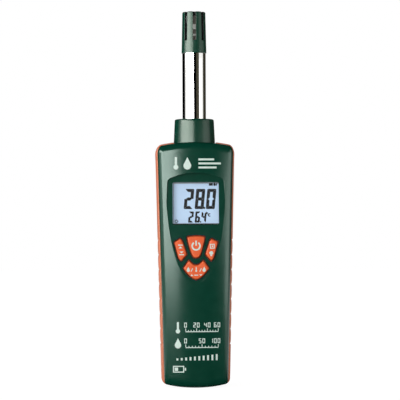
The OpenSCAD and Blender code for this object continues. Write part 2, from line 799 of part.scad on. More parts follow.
module battery_door() {
    color(green) difference() {
        union() {
            intersection() {
                case_solid();
                box([-door_w / 2, door_y, door_lift], [door_w / 2, far, door_h]);
            }
            both_sides() box([door_w / 2 - tongue_overlap, tongue_y, tongue_z],
                [door_w / 2 + tongue_w, door_y, door_h]);
        }
        for (i = [0:rib_count - 1]) let (z = rib_z + rib_pitch * i)
            box([-rib_half, back_y - rib_depth, z - rib_groove / 2], [rib_half, far, z + rib_groove / 2]);
    }
}
module battery_pad() {
    color([0.25, 0.25, 0.25]) box([-pad_half, door_y - door_pad_t, battery_z + pad_margin],
        [pad_half, door_y, stud_z - pad_margin]);
}
module battery_bay() {
    box([-bay_half - bay_wall, joint_y, bay_z - bay_wall],
        [bay_half + bay_wall, back_y - wall, bay_top + bay_wall]);
}
module bay_room() {
    box([-bay_half, bay_y, bay_z], [bay_half, far, bay_top]);
    both_sides() box([lead_x - 1, lead_y - lead_room, bay_top - 1],
        [lead_x * lead_spread + 1, lead_y + lead_room, bay_top + bay_wall + 1]);
}

// Rear label, plain
label_w = 28;
label_h = 40;
label_z = door_h + 17.6;
label_t = 0.4;
label_corner = 2;
module label_shape() {
    translate([-label_w / 2, label_z]) rounded(label_corner) square([label_w, label_h]);
}
module rear_label() {
    color([0.75, 0.76, 0.74]) slab(back_y - label_t, back_y) label_shape();
}

// Case halves
module front_half_only() {
    box([-far, -far, -far], [far, joint_y, 2 * far]);
}
module front_case() {
    color(green) difference() {
        union() {
            difference() {
                intersection() {
                    case_solid();
                    front_half_only();
                }
                cavity();
            }
            intersection() {
                union() {
                    both_sides() for (p = case_screw_spots)
                        across(p[0], p[1], front_boss_r, inner_y - 1, joint_y);
                    both_sides() for (p = board_screw_spots)
                        across(p[0], p[1], board_post_r, inner_y - 1, board_y);
                    collar_seat();
                }
                case_solid();
                front_half_only();
            }
        }
        panel_recess();
        display_opening();
        key_opening() power_shape();
        key_opening() left_shape();
        key_opening() right_shape();
        key_opening() lower_shape();
        grip_channels();
        collar_room();
        both_sides() for (p = case_screw_spots) across(p[0], p[1], screw_r, screw_tip_y, joint_y + 1, 24);
        both_sides() for (p = board_screw_spots)
            across(p[0], p[1], board_screw_r, inner_y + 0.5, board_y + 1, 24);
    }
}
module rear_case() {
    color(green) difference() {
        union() {
            difference() {
                case_solid();
                front_half_only();
                cavity();
            }
            intersection() {
                union() {
                    both_sides() for (p = case_screw_spots)
                        across(p[0], p[1], rear_boss_r, joint_y, back_y - 0.5);
                    collar_seat();
                    battery_bay();
                }
                case_solid();
                box([-far, joint_y, -far], [far, far, 2 * far]);
            }
        }
        bay_room();
        door_room(door_gap);
        grip_channels();
        collar_room();
        slab(back_y - label_t, back_y + 1) label_shape();
        both_sides() for (p = case_screw_spots) {
            across(p[0], p[1], screw_r, joint_y - 1, screw_seat_y + 1, 24);
            across(p[0], p[1], head_bore_r, screw_seat_y, back_y + 1, 32);
        }
    }
}

front_case();
rear_case();
left_grip();
right_grip();
probe_collar();
probe_tube();
sensor_guard();
sensor_board();
humidity_element();
thermistor();
sensor_cable();
sensor_plug();
sensor_socket();
display_window();
window_gasket();
display_glass();
display_holder();
upper_zebra_strip();
lower_zebra_strip();
backlight_panel();
power_key();
left_key();
right_key();
lower_key();
power_contact();
left_contact();
right_contact();
lower_contact();
keypad_mat();
main_board();
contact_pads();
microcontroller();
amplifier_chip();
crystal();
capacitors();
resistors();
battery();
battery_snap();
red_lead();
black_lead();
battery_door();
battery_pad();
case_screws();
board_screws();
rear_label();
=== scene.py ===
"""Hand-held digital psychrometer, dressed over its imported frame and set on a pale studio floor."""
import json
import math

import bmesh
import bpy
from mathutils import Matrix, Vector
from mathutils.geometry import delaunay_2d_cdt


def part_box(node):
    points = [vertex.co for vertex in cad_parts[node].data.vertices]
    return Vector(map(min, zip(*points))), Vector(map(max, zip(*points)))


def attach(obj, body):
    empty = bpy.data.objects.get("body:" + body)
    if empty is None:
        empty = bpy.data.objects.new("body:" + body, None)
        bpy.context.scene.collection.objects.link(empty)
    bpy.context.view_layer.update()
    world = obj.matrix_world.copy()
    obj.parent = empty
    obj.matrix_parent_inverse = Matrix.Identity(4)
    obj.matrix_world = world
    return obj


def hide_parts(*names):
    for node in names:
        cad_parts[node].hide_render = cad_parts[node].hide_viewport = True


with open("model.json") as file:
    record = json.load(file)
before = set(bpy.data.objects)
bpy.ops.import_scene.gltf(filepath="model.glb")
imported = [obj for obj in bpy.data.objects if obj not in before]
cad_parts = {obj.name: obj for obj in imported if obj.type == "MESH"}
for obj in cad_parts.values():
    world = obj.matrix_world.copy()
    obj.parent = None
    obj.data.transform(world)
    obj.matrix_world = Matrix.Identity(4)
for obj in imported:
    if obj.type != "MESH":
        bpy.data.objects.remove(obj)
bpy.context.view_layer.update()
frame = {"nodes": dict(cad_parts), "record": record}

bl_info = {
    "name": "Digital psychrometer",
    "version": (1, 0, 0),
    "blender": (4, 5, 0),
    "location": "View3D > Sidebar > Psychrometer",
    "description": "Builds a hand-held psychrometer with a display, keys, grips and a slotted sensor guard",
    "category": "Object",
}

MM = 0.001
SAME_POINT = 0.001 * MM
BOXES = {name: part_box(name) for name in frame["nodes"]}


def lowest(node):
    """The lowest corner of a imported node, in metres."""
    return BOXES[node][0]


def highest(node):
    """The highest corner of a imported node, in metres."""
    return BOXES[node][1]


def middle(node):
    """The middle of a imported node's box, in metres."""
    return (lowest(node) + highest(node)) / 2


def length(name, description, default):
    """A size in metres, given in millimetres."""
    return bpy.props.FloatProperty(
        name=name, description=description, default=default * MM, unit="LENGTH", precision=5
    )


def angle(name, description, degrees):
    """An angle, given in degrees."""
    return bpy.props.FloatProperty(
        name=name, description=description, default=math.radians(degrees), subtype="ANGLE"
    )


def amount(name, description, default):
    """A plain amount, such as the power of a light."""
    return bpy.props.FloatProperty(name=name, description=description, default=default, min=0)


def colour(name, description, default):
    """A colour, given as its red, green and blue on a screen, from 0 to 255."""
    return bpy.props.FloatVectorProperty(
        name=name, description=description, subtype="COLOR", size=3, min=0, max=1,
        default=[screen_to_linear(level / 255) for level in default],
    )


def screen_to_linear(level):
    """A screen level from 0 to 1 as the amount of light that it stands for."""
    return level / 12.92 if level <= 0.04045 else ((level + 0.055) / 1.055) ** 2.4


class CaseSizes(bpy.types.PropertyGroup):
    """Sizes of the case, its grips and the panel in its face."""

    top_width: length("Top width", "Width of the case, carried on to the shoulder", 45.4)
    foot_width: length("Foot width", "Width of the case, carried on to the foot", 37.9)
    shoulder_radius: length("Shoulder radius", "Radius of the arched shoulder", 100)
    foot_radius: length("Foot radius", "Radius of the arched foot", 78)
    corner_height: length("Corner height", "Height over which the outline's corners round off", 4.3)
    corner_width: length("Corner width", "Width over which the outline's corners round off", 2.5)
    foot_corner: length("Foot corner height", "Height over which the lower corners round off", 2.1)
    foot_corner_width: length("Foot corner width", "Width over which the lower corners round off", 1.6)
    end_radius: length("End rounding", "Rounding of the face towards the shoulder and foot", 4.1)
    side_radius: length("Side rounding", "Rounding of the face towards the sides", 3)
    crown: length("Crown", "How much the middle of the face stands out", 1.3)
    wall: length("Wall", "Thickness of the case walls", 2)
    grip_top_out: length("Grip at the top", "How far the grips stand out at the shoulder", 0.85)
    grip_foot_out: length("Grip at the foot", "How far the grips stand out at the foot", 1.3)
    grip_brow_out: length("Grip over the top", "How far the grips stand out of the shoulder", 0.7)
    grip_sink: length("Grip sink", "How deep the grips sit in the case walls", 0.8)
    grip_rounding: length("Grip rounding", "Rounding of the grips' long edges", 1.1)
    notch_height: length("Lowest notch", "Height of the lowest notch in the grips", 26.1)
    notch_pitch: length("Notch pitch", "Distance between the notches", 8.84)
    pad_fall: length("Pad fall", "How much each finger pad falls off towards its notches", 0.35)
    notch_depth: length("Notch depth", "Depth of each notch", 0.6)
    panel_width: length("Panel width", "Greatest width of the face panel", 35)
    panel_drop: length("Panel depth", "Depth of the panel at its upper edge", 1.9)
    panel_tip_drop: length("Tip depth", "Depth of the panel at its lower tip", 0.3)
    panel_rounding: length("Panel rounding", "Rounding of the panel's upper edge", 0.8)
    key_gap: length("Key gap", "Gap round a key", 0.6)
    key_raise: length("Key height", "How far the keys stand out of the panel", 0.7)
    key_rounding: length("Key rounding", "Rounding of a key's upper edge", 0.45)
    key_corner: length("Key corner", "Radius of a key's corners", 0.75)


class ProbeSizes(bpy.types.PropertyGroup):
    """Sizes of the collar, the tube and the guard."""

    collar_foot: length("Collar foot", "Diameter of the collar at its foot", 24.9)
    collar_top: length("Collar top", "Diameter of the collar at its top", 23.5)
    collar_rounding: length("Collar rounding", "Rounding of the collar's upper edge", 0.9)
    tube: length("Tube", "Diameter of the steel tube", 14.1)
    tube_wall: length("Tube wall", "Wall of the steel tube", 0.6)
    guard_foot: length("Guard foot", "Diameter of the guard above the tube", 15)
    guard_tip: length("Guard tip", "Diameter of the guard at its tip", 14)
    guard_wall: length("Guard wall", "Thickness of the guard's fingers", 1.4)
    guard_roof: length("Guard roof", "Thickness of the disc that closes the guard", 1.8)
    ring: length("Plain ring", "Height of the plain ring below the slots", 7.5)
    slot: length("Slot", "Width of a slot", 1.9)
    slot_edge: length("Slot rounding", "Rounding of the slots' edges", 0.22)


class Finishes(bpy.types.PropertyGroup):
    """Colours of the finishes."""

    green: colour("Case green", "Smooth green moulding", (3, 63, 47))
    orange: colour("Grip orange", "Soft side grips", (214, 118, 80))
    key_orange: colour("Key orange", "Silicone keys", (246, 98, 36))
    print_white: colour("Print", "Printed marks", (222, 240, 230))
    display_blue: colour("Display", "Face of the liquid crystal display", (190, 214, 240))
    display_black: colour("Segments", "Switched-on segments", (4, 4, 7))
    steel: colour("Steel", "Polished tube", (240, 239, 235))


class StudioSettings(bpy.types.PropertyGroup):
    """The camera and the light."""

    distance: length("Camera distance", "Distance from the camera to the meter", 1204)
    azimuth: angle("Camera azimuth", "How far the camera stands to the left", 2.6)
    roll: angle("Camera roll", "How far the camera leans", 0.25)
    lens: amount("Lens", "Focal length in millimetres", 180)
    ambient: amount("Ambient", "Level of the light from all round", 0.42)
    key_light: amount("Key light", "Power of the large light at the left", 6.4)
    fill_light: amount("Fill light", "Power of the weaker light at the right", 0.15)
    softbox_level: amount("Softbox level", "How bright the softbox looks in reflections", 9.5)
    right_level: amount("Right light level", "How bright the strips at the right look in reflections", 1)


# Meshes

def add_object(name, data):
    """Puts a mesh, a light or a camera into the scene."""
    made = bpy.data.objects.new(name, data)
    bpy.context.scene.collection.objects.link(made)
    return made


def add_piece(name, shell, look, body="meter", stands_for=None):
    """A closed smooth mesh with its faces turned outwards, which rides on a body."""
    mesh = bpy.data.meshes.new(name)
    mesh.from_pydata(shell.points, [], shell.faces)
    mesh.validate()
    mesh.materials.append(finish(look))
    shape = bmesh.new()
    shape.from_mesh(mesh)
    bmesh.ops.remove_doubles(shape, verts=shape.verts, dist=SAME_POINT)
    bmesh.ops.recalc_face_normals(shape, faces=shape.faces)
    shape.to_mesh(mesh)
    shape.free()
    mesh.shade_smooth()
    mesh.set_sharp_from_angle(angle=math.radians(35))
    piece = add_object(name, mesh)
    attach(piece, body)
    if stands_for:
        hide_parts(stands_for)
    return piece


def soften(piece, width, angle=40):
    """Rounds the sharp edges of a piece and evens out its shading."""
    bevel = piece.modifiers.new("Rounded edges", "BEVEL")
    bevel.width = width
    bevel.segments = 2
    bevel.limit_method = "ANGLE"
    bevel.angle_limit = math.radians(angle)
    bevel.miter_outer = "MITER_ARC"
    bevel.harden_normals = False
    even_shading(piece)


def even_shading(piece):
    """Lets the large faces lead the shading."""
    weighted = piece.modifiers.new("Even shading", "WEIGHTED_NORMAL")
    weighted.keep_sharp = True
    weighted.weight = 60


class Shell:
    """Collects the points and faces of one mesh."""

    def __init__(self):
        self.points = []
        self.faces = []

    def loop(self, flat, depth):
        """Adds a loop of flat points, given as x and z, and returns its indices.

        depth is the same for all, a function of x and z, or a list with one for each point."""
        if callable(depth):
            depth = [depth(*p) for p in flat]
        if not isinstance(depth, list):
            depth = [depth] * len(flat)
        start = len(self.points)
        self.points += [(x, y, z) for (x, z), y in zip(flat, depth)]
        return list(range(start, len(self.points)))

    def bridge(self, *loops):
        """Joins each loop to the next one, of the same length, with a band of quads."""
        for a, b in zip(loops, loops[1:]):
            for i in range(len(a)):
                j = (i + 1) % len(a)
                self.faces.append((a[i], a[j], b[j], b[i]))

    def fill(self, outer, holes, depth, spacing=0.0):
        """Fills the field between an outer loop and its holes, with points on a grid where it is curved."""
        rims = [[(self.points[i][0], self.points[i][2]) for i in loop] for loop in [outer] + holes]
        indices = [i for loop in [outer] + holes for i in loop]
        flat = [p for rim in rims for p in rim]
        edges = []
        for rim in rims:
            start = len(edges)
            edges += [(start + i, start + (i + 1) % len(rim)) for i in range(len(rim))]
        if spacing:
            grid = list(grid_inside(rims, spacing))
            indices += self.loop(grid, depth)
            flat += grid
        scaled = [Vector(p) / MM for p in flat]
        within_edges = 1
        places, _, faces, origins, _, _ = delaunay_2d_cdt(scaled, edges, [], within_edges, 1e-5)
        at = [indices[origin[0]] if origin else self.loop([place * MM], depth)[0]
              for place, origin in zip(places, origins)]
        for face in faces:
            centre = sum((places[i] for i in face), Vector((0, 0))) / len(face) * MM
            if not any(inside(centre, hole) for hole in rims[1:]):
                self.faces.append(tuple(at[i] for i in face))


def inside(p, loop):
    """Whether a flat point lies inside a closed loop."""
    odd = False
    for (ax, az), (bx, bz) in zip(loop, loop[1:] + loop[:1]):
        if (az > p[1]) != (bz > p[1]) and p[0] < ax + (p[1] - az) * (bx - ax) / (bz - az):
            odd = not odd
    return odd


def in_field(p, loops):
    """Whether a flat point lies inside the first loop and outside the others."""
    return inside(p, loops[0]) and not any(inside(p, hole) for hole in loops[1:])


def grid_inside(loops, spacing):
    """Points of a staggered grid in the field between the loops and clear of them all."""
    rims = [p for loop in loops for p in loop]
    low_x, low_z = [min(p[i] for p in loops[0]) for i in (0, 1)]
    high_x, high_z = [max(p[i] for p in loops[0]) for i in (0, 1)]
    for row in range(int((high_z - low_z) / spacing) + 1):
        z = low_z + spacing * (row + 0.5)
        near = [p for p in rims if abs(p[1] - z) < spacing]
        for column in range(int((high_x - low_x) / spacing) + 1):
            x = low_x + spacing * (column + row % 2 / 2)
            if in_field((x, z), loops) and all(math.dist((x, z), q) > 0.6 * spacing for q in near):
                yield x, z


# Flat outlines

def around(loop):
    """Each point of a closed loop, between the ones before and after it."""
    points = [Vector(p) for p in loop]
    return zip(points[-1:] + points[:-1], points, points[1:] + points[:1])


def inward(loop):
    """Unit normals that point into a closed loop that runs anticlockwise as seen from the face."""
    return [(after - before).orthogonal().normalized() for before, _, after in around(loop)]


def inset(loop, by):
    """A closed loop moved inwards, by one distance or by one for each point."""
    steps = by if isinstance(by, list) else [by] * len(loop)
    return [tuple(Vector(p) + n * d) for p, n, d in zip(loop, inward(loop), steps)]


def mirrored(half):
    """A closed loop from its right half, which starts and ends on the middle line."""
    return half + [(-x, z) for x, z in reversed(half) if x > SAME_POINT]


def spread(a, b, count):
    """Values from a up to but without b."""
    return [a + (b - a) * i / count for i in range(count)]


def quarter(steps):
    """Angles of a quarter turn."""
    return [math.pi / 2 * i / steps for i in range(steps + 1)]


def arc(angle):
    """How far a quarter round has come in, and how far it still has to rise, as shares of its radius."""
    return 1 - math.cos(angle), 1 - math.sin(angle)


def curve(start, corner, end, t):
    """The point at share t of a curve that leaves start towards corner and comes into end."""
    return tuple(start * (1 - t) ** 2 + corner * 2 * t * (1 - t) + end * t * t)


def round_corners(corners, radius, steps=6):
    """A closed outline with arcs at its corners, each no longer than its edges allow."""
    outline = []
    for before, at, after in around(corners):
        before, after = before - at, after - at
        bend = math.pi - abs(before.angle_signed(after))
        reach = min(radius * math.tan(bend / 2), 0.45 * before.length, 0.45 * after.length)
        start, end = at + before.normalized() * reach, at + after.normalized() * reach
        outline += [curve(start, at, end, i / steps) for i in range(steps + 1)]
    return outline


def moved_corners(corners, out):
    """Corners of a closed anticlockwise outline after its edges have moved outwards."""
    moved = []
    for before, at, after in around(corners):
        a, b = [-edge.orthogonal().normalized() for edge in (at - before, after - at)]
        moved.append(tuple(at + (a + b) * out / (1 + a.dot(b))))
    return moved


def rectangle(low_x, low_z, high_x, high_z):
    """The corners of a rectangle."""
    return [(low_x, low_z), (high_x, low_z), (high_x, high_z), (low_x, high_z)]


def nearest_on(line, p):
    """The place on a flat open line that is nearest to a point."""
    places = []
    for start, end in zip(line, line[1:]):
        start, along = Vector(start), Vector(end) - Vector(start)
        share = (p - start).dot(along) / max(along.length_squared, 1e-18)
        places.append(start + along * min(max(share, 0), 1))
    return min(places, key=lambda at: (p - at).length)


# Shape of the case. The grips begin this far from the middle line, at the foot and at the top

GRIP_FOOT = 17.8 * MM
GRIP_TOP = 12.85 * MM
HALFWAY = 50 * MM
HAIR = 0.02 * MM
LEAST_CORNER = 0.5 * MM
WINDOW_BORDER = 1.6 * MM
PANEL_ABOVE_WINDOW = 5.6 * MM
KEY_RIM = 1 * MM
LOWER_KEY_FOOT = 2.4
# Reach of the painted shade past each key opening, beyond the key gap
WELL_SHADE_REACH = 0.36 * MM
FLAT_BAND = 0.25 * MM


def case_half(case, z):
    """Half the width of the case at a height."""
    return (case.foot_width + (case.top_width - case.foot_width) * z / highest("front_case").z) / 2


def grip_half(case, z):
    """Half the width across the grips at a height."""
    share = z / highest("front_case").z
    return case_half(case, z) + case.grip_foot_out + (case.grip_top_out - case.grip_foot_out) * share


def shoulder(case, x):
    """Height of the shoulder at a distance from the middle."""
    return highest("front_case").z - x * x / (2 * case.shoulder_radius)


def foot(case, x):
    """Height of the foot at a distance from the middle."""
    return x * x / (2 * case.foot_radius)


def gripped(x, z):
    """Whether a point of the outline lies under a grip."""
    return abs(x) > (GRIP_FOOT if z < HALFWAY else GRIP_TOP) + HAIR / 2


def corner_angles(case, held):
    """Angles of the points along the lower corner, with a close pair where a grip ends."""
    corner = case.foot_corner_width + held * case.grip_top_out
    width = (grip_half if held else case_half)(case, case.foot_corner)
    angles = [math.acos(1 - (width - at) / corner) for at in (GRIP_FOOT, GRIP_FOOT + HAIR)]
    return sorted(angles + quarter(8), reverse=True)


def outline_half(case, held, side_inset, end_inset, side_stops):
    """Right half of an outline, from the middle of the foot to the middle of the shoulder.

    It is the outline of the case where held is 0, and of the grips where it is 1. side_stops are the
    heights and dips of the points along the side."""
    half = grip_half if held else case_half
    out = held * case.grip_top_out
    wide, low_wide = [max(size + out - side_inset, LEAST_CORNER)
                      for size in (case.corner_width, case.foot_corner_width)]
    tall, low_tall = [max(size + out - end_inset, LEAST_CORNER)
                      for size in (case.corner_height, case.foot_corner)]
    rise = held * case.grip_brow_out - end_inset
    low_w = half(case, case.foot_corner) - side_inset
    high_w = half(case, highest("front_case").z - case.corner_height) - side_inset
    points = [(x, foot(case, x) + end_inset) for x in spread(0, low_w - low_wide, 12)]
    for come, rest in map(arc, corner_angles(case, held)):
        x = low_w - low_wide * come
        points.append((x, foot(case, x) + end_inset + low_tall * rest))
    points += [(half(case, z) - side_inset - dip, z) for z, dip in side_stops]
    for come, rest in map(arc, quarter(8)):
        x = high_w - wide * come
        points.append((x, shoulder(case, x) + rise - tall * rest))
    brow = sorted(spread(0, high_w - wide, 14) + [GRIP_TOP, GRIP_TOP + HAIR], reverse=True)
    return points + [(x, shoulder(case, x) + rise) for x in brow]


def plain_stops(case):
    """Heights of the points along the plain side of the case."""
    low, high = 2 * case.corner_height, highest("front_case").z - 2 * case.corner_height
    return [(z, 0.0) for z in spread(low, high, 40)]


def grip_stops(case):
    """Heights and dips of the points along a grip's side, with close ones round each notch."""
    pads = 7
    shares = (0, 0.03, 0.06, 0.12, 0.22, 0.35, 0.5, 0.65, 0.78, 0.88, 0.94, 0.97)
    stops = [(z * MM, 0.0) for z in (9, 12, 16, 20, 24, 25.3)]
    for pad in range(pads):
        for u in shares:
            dip = case.pad_fall * abs(2 * u - 1) ** 4 if u else case.notch_depth
            stops.append((case.notch_height + (pad + u) * case.notch_pitch, dip))
    last = case.notch_height + pads * case.notch_pitch
    stops += [(last, case.notch_depth), (last + 0.3 * MM, 0.1 * MM)]
    top = highest("front_case").z - 2 * case.corner_height
    return stops + [(z, 0.0) for z in spread(last + 1.5 * MM, top, 20)]


def crown_depth(case, x, z):
    """Depth of the crowned face, without the rounding at its edge."""
    flat = case_half(case, z) - case.side_radius
    return lowest("front_case").y + case.crown * (x / flat) ** 2


def panel_low_z():
    """Height of the panel's lower tip, below the lower key."""
    return lowest("lower_key").z + KEY_RIM - LOWER_KEY_FOOT * MM


def panel_high_z():
    """Height of the panel's upper edge, above the display."""
    return highest("display_window").z - WINDOW_BORDER + PANEL_ABOVE_WINDOW


def panel_depth(case, x, z):
    """Depth of the panel's floor, which is the same all across at one height."""
    rise = (z - panel_low_z()) / (panel_high_z() - panel_low_z())
    return lowest("front_case").y + case.panel_tip_drop + (case.panel_drop - case.panel_tip_drop) * rise


def panel_outline(case):
    """Outline of the face panel: an arched top and curved sides that meet in the lower tip.

    Its points are shares of the panel's width and height."""
    widest, upper, lower, tip = [Vector(p) for p in ((0.5, 0.739), (0.466, 0.38), (0.31, 0.008), (0, 0))]
    corner = Vector((0.483, 0.942))
    half = []
    for i in range(29):
        t = 1 - i / 28
        half.append(tuple(widest * (1 - t) ** 3 + upper * 3 * t * (1 - t) ** 2
                          + lower * 3 * t * t * (1 - t) + tip * t ** 3))
    half += [tuple(widest.lerp(corner, u)) for u in (0.3, 0.6)]
    arch = [(corner.x * u, 1 - (1 - corner.y) * u * u) for u in [0.88 * (1 - i / 12) for i in range(13)]]
    start, end = widest.lerp(corner, 0.84), Vector(arch[0])
    half += [curve(start, corner, end, t) for t in (0, 0.17, 0.33, 0.5, 0.67, 0.83)]
    low, high = panel_low_z(), panel_high_z()
    return mirrored([(x * case.panel_width, low + z * (high - low)) for x, z in half + arch])


def both_halves(half):
    """A closed outline from the mirrored half, which starts and ends on the middle line."""
    return [(-x, z) for x, z in half[:-1]] + [(x, z) for x, z in reversed(half[1:])]


# Corners of the keys, in millimetres from the middle line and above the panel's tip
SIDE_KEY = [(9.2, 26.5), (12.85, 24.4), (10.4, 15.2), (9, 13.3), (5.65, 17.2), (8.15, 24.85)]
KEYS = {
    "power_key": both_halves([(0, 28), (5.2, 27.6), (4.75, 24.8), (3.9, 21.6), (2.7, 17.7), (1.6, 15.6),
                              (0, 15.2)]),
    "left_key": [(-x, z) for x, z in SIDE_KEY],
    "right_key": SIDE_KEY[::-1],
    "lower_key": both_halves([(0, 10.7), (1.5, 11), (2.8, 12), (4.3, 13.6), (7.5, 8.9), (5.9, 6.8),
                              (3.6, 4.3), (1.8, 3), (0, LOWER_KEY_FOOT)]),
}


def key_outline(case, name, out=0.0):
    """Outline of a key, anticlockwise as seen from the face, moved outwards by a distance."""
    tip = panel_low_z()
    corners = moved_corners([(x * MM, tip + z * MM) for x, z in KEYS[name]], out)
    return round_corners(corners, case.key_corner + out)


def lip(radius):
    """Pairs of distance past an opening's edge and drop below it, for a thin lip hollowed out below."""
    return [(radius * (1 - rest), radius * come) for come, rest in map(arc, quarter(4))]


def build_front_case(case):
    """Front half of the case: crowned face, sunk panel with its openings, walls and the hollow inside."""
    shell = Shell()
    joint, grip_y, inner_y = highest("front_case").y, lowest("left_grip").y, lowest("display_holder").y
    stops = plain_stops(case)
    outline = mirrored(outline_half(case, 0, 0, 0, stops))
    radii = [case.side_radius + (case.end_radius - case.side_radius) * n.y ** 2 for n in inward(outline)]
    face = []
    for come, rest in map(arc, quarter(8)):
        rim = mirrored(outline_half(case, 0, case.side_radius * come, case.end_radius * come, stops))
        face.append(shell.loop(rim, [crown_depth(case, *p) + r * rest for p, r in zip(rim, radii)]))
    channel = inset(outline, [case.grip_sink if gripped(*p) else 0.0 for p in outline])
    wall = case.wall + 0.4 * MM
    hollow = mirrored(outline_half(case, 0, wall, wall, stops))
    hollow_floor = shell.loop(hollow, inner_y)
    shell.bridge(hollow_floor, shell.loop(hollow, joint), shell.loop(channel, joint),
                 shell.loop(channel, grip_y), shell.loop(outline, grip_y), *face)
    edge, panel = sink_panel(shell, case)
    shell.fill(face[-1], [edge], lambda x, z: crown_depth(case, x, z), 1.5 * MM)
    rims, ends = cut_openings(shell, case, inner_y)
    shell.fill(panel, rims, lambda x, z: panel_depth(case, x, z), 2.5 * MM)
    shell.fill(hollow_floor, ends, inner_y)
    piece = add_piece("front_shell", shell, "green_plastic", stands_for="front_case")
    # Painted shade: the walls of the key openings, and a band round them, get the near-black finish, where
    # the gaps lie in shade.
    shaded_wells = [key_outline(case, name, case.key_gap + WELL_SHADE_REACH) for name in KEYS]
    blacken(piece, lambda x, y, z: y < highest("power_key").y and any(inside((x, z), w) for w in shaded_wells))
    even_shading(piece)


def sink_panel(shell, case):
    """The step from the crowned face to the sunk panel. Returns its outermost and innermost loops."""
    panel = panel_outline(case)
    loops = []
    for out, drop in [(1.35, 0.0)] + lip(1):
        rim, depths = [], []
        for p, n in zip(panel, inward(panel)):
            fall = panel_depth(case, *p) - crown_depth(case, *p)
            reach = min(case.panel_rounding, max(0.85 * fall, 0.06 * MM))
            at = Vector(p) - n * out * reach
            rim.append(tuple(at))
            depths.append(crown_depth(case, *at) + drop * reach)
        loops.append(shell.loop(rim, depths))
    for into, above in ((0.0, 0.12), (0.05, 0.03), (0.16, 0.0), (0.4, 0.0)):
        rim = inset(panel, into * MM)
        floor = [panel_depth(case, *p) for p in rim]
        loops.append(shell.loop(rim, [max(low - above * MM, min(high, low))
                                      for low, high in zip(floor, depths)]))
    shell.bridge(*loops)
    return loops[0], loops[-1]


def cut_openings(shell, case, inner_y):
    """The walls of the window's and the keys' openings. Returns their loops on the panel and inside."""
    low, high = lowest("display_window"), highest("display_window")
    corners = moved_corners(rectangle(low.x, low.z, high.x, high.z), -WINDOW_BORDER)

    def window_rim(out):
        return round_corners(moved_corners(corners, out), 0.8 * MM + out, 5)

    ways = [(window_rim, 0.35 * MM, [(0, low.y), (WINDOW_BORDER, low.y), (WINDOW_BORDER, inner_y)])]
    ways += [(lambda out, name=name: key_outline(case, name, case.key_gap + out), 0.12 * MM, [(0, inner_y)])
             for name in KEYS]
    rims, ends = [], []
    for rim_at, radius, deeper in ways:
        hole = []
        for out, drop in [(radius + FLAT_BAND, 0.0)] + lip(radius):
            hole.append(shell.loop(rim_at(out), lambda x, z: panel_depth(case, x, z) + drop))
        hole += [shell.loop(rim_at(out), depth) for out, depth in deeper]
        shell.bridge(*hole)
        rims.append(hole[0])
        ends.append(hole[-1])
    return rims, ends


def blacken(piece, chosen):
    """Paints shade onto a piece: a near-black second finish on the faces whose centres a function chooses.
    """
    piece.data.materials.append(finish("key_well"))
    for face in piece.data.polygons:
        if chosen(*face.center):
            face.material_index = 1


def build_grip(case, side):
    """One side grip: a soft band from the foot round the corners to the collar, with finger pads."""
    slack, belly = 0.03 * MM, 0.2 * MM
    front, back = lowest("left_grip").y + slack, highest("left_grip").y - slack
    stops = grip_stops(case)
    path = [p for p in outline_half(case, 1, 0, 0, stops) if gripped(*p)]
    sunk = outline_half(case, 0, case.grip_sink, case.grip_sink, stops)
    outwards = [-n for n in inward([path[0]] + path + [path[-1]])[1:-1]]
    r, width = case.grip_rounding, back - front
    # Lift above the outline and depth behind the front edge, with None on the floor of the channel
    section = [(None, 0.0), (-1.4 * r, 0.0)]
    section += [(-r * rest, r * come) for come, rest in map(arc, spread(0, math.pi / 2, 5))]
    section += [(belly * math.sin(math.pi * u), r + (width - 2 * r) * u) for u in spread(0, 1, 5)]
    section += [(-r * come, width - r * rest) for come, rest in map(arc, spread(0, math.pi / 2, 5))]
    section += [(-r, width), (-1.4 * r, width), (None, width)]
    shell = Shell()
    rows = []
    for p, n in zip(path, outwards):
        p = Vector(p)
        floor = nearest_on(sunk, p)
        places = [floor if lift is None else p + n * lift for lift, _ in section]
        rows.append(shell.loop([(side * at.x, at.y) for at in places], [front + y for _, y in section]))
    shell.bridge(*rows)
    shell.faces += [tuple(rows[0]), tuple(reversed(rows[-1]))]
    name = "left_grip" if side < 0 else "right_grip"
    even_shading(add_piece(name + "_band", shell, "orange_rubber", stands_for=name))


def build_key(case, name):
    """A silicone key with a rounded upper edge, on the rim that holds it behind the face."""

    def top(x, z, below=0.0):
        return panel_depth(case, x, z) - case.key_raise + below

    shell = Shell()
    rim_y, r = highest(name).y, case.key_rounding
    flange = key_outline(case, name, KEY_RIM)
    loops = [shell.loop(flange, rim_y), shell.loop(flange, rim_y - KEY_RIM),
             shell.loop(key_outline(case, name), rim_y - KEY_RIM)]
    for come, rest in map(arc, quarter(5)):
        loops.append(shell.loop(key_outline(case, name, -r * come), lambda x, z: top(x, z, r * rest)))
    loops.append(shell.loop(key_outline(case, name, -r - FLAT_BAND), lambda x, z: top(x, z, -0.03 * MM)))
    shell.bridge(*loops)
    shell.fill(loops[-1], [], lambda x, z: top(x, z, -0.06 * MM), 1.2 * MM)
    shell.fill(loops[0], [], rim_y)
    even_shading(add_piece(name + "_cap", shell, "key_rubber", name, stands_for=name))


# Probe

def lathe(profile, segments):
    """Turns a closed profile of radius and height about the probe's axis."""
    shell = Shell()
    columns = [shell.loop([(r * math.cos(turn), z) for r, z in profile],
                          [r * math.sin(turn) for r, z in profile])
               for turn in spread(0, 2 * math.pi, segments)]
    shell.bridge(*columns, columns[0])
    return shell


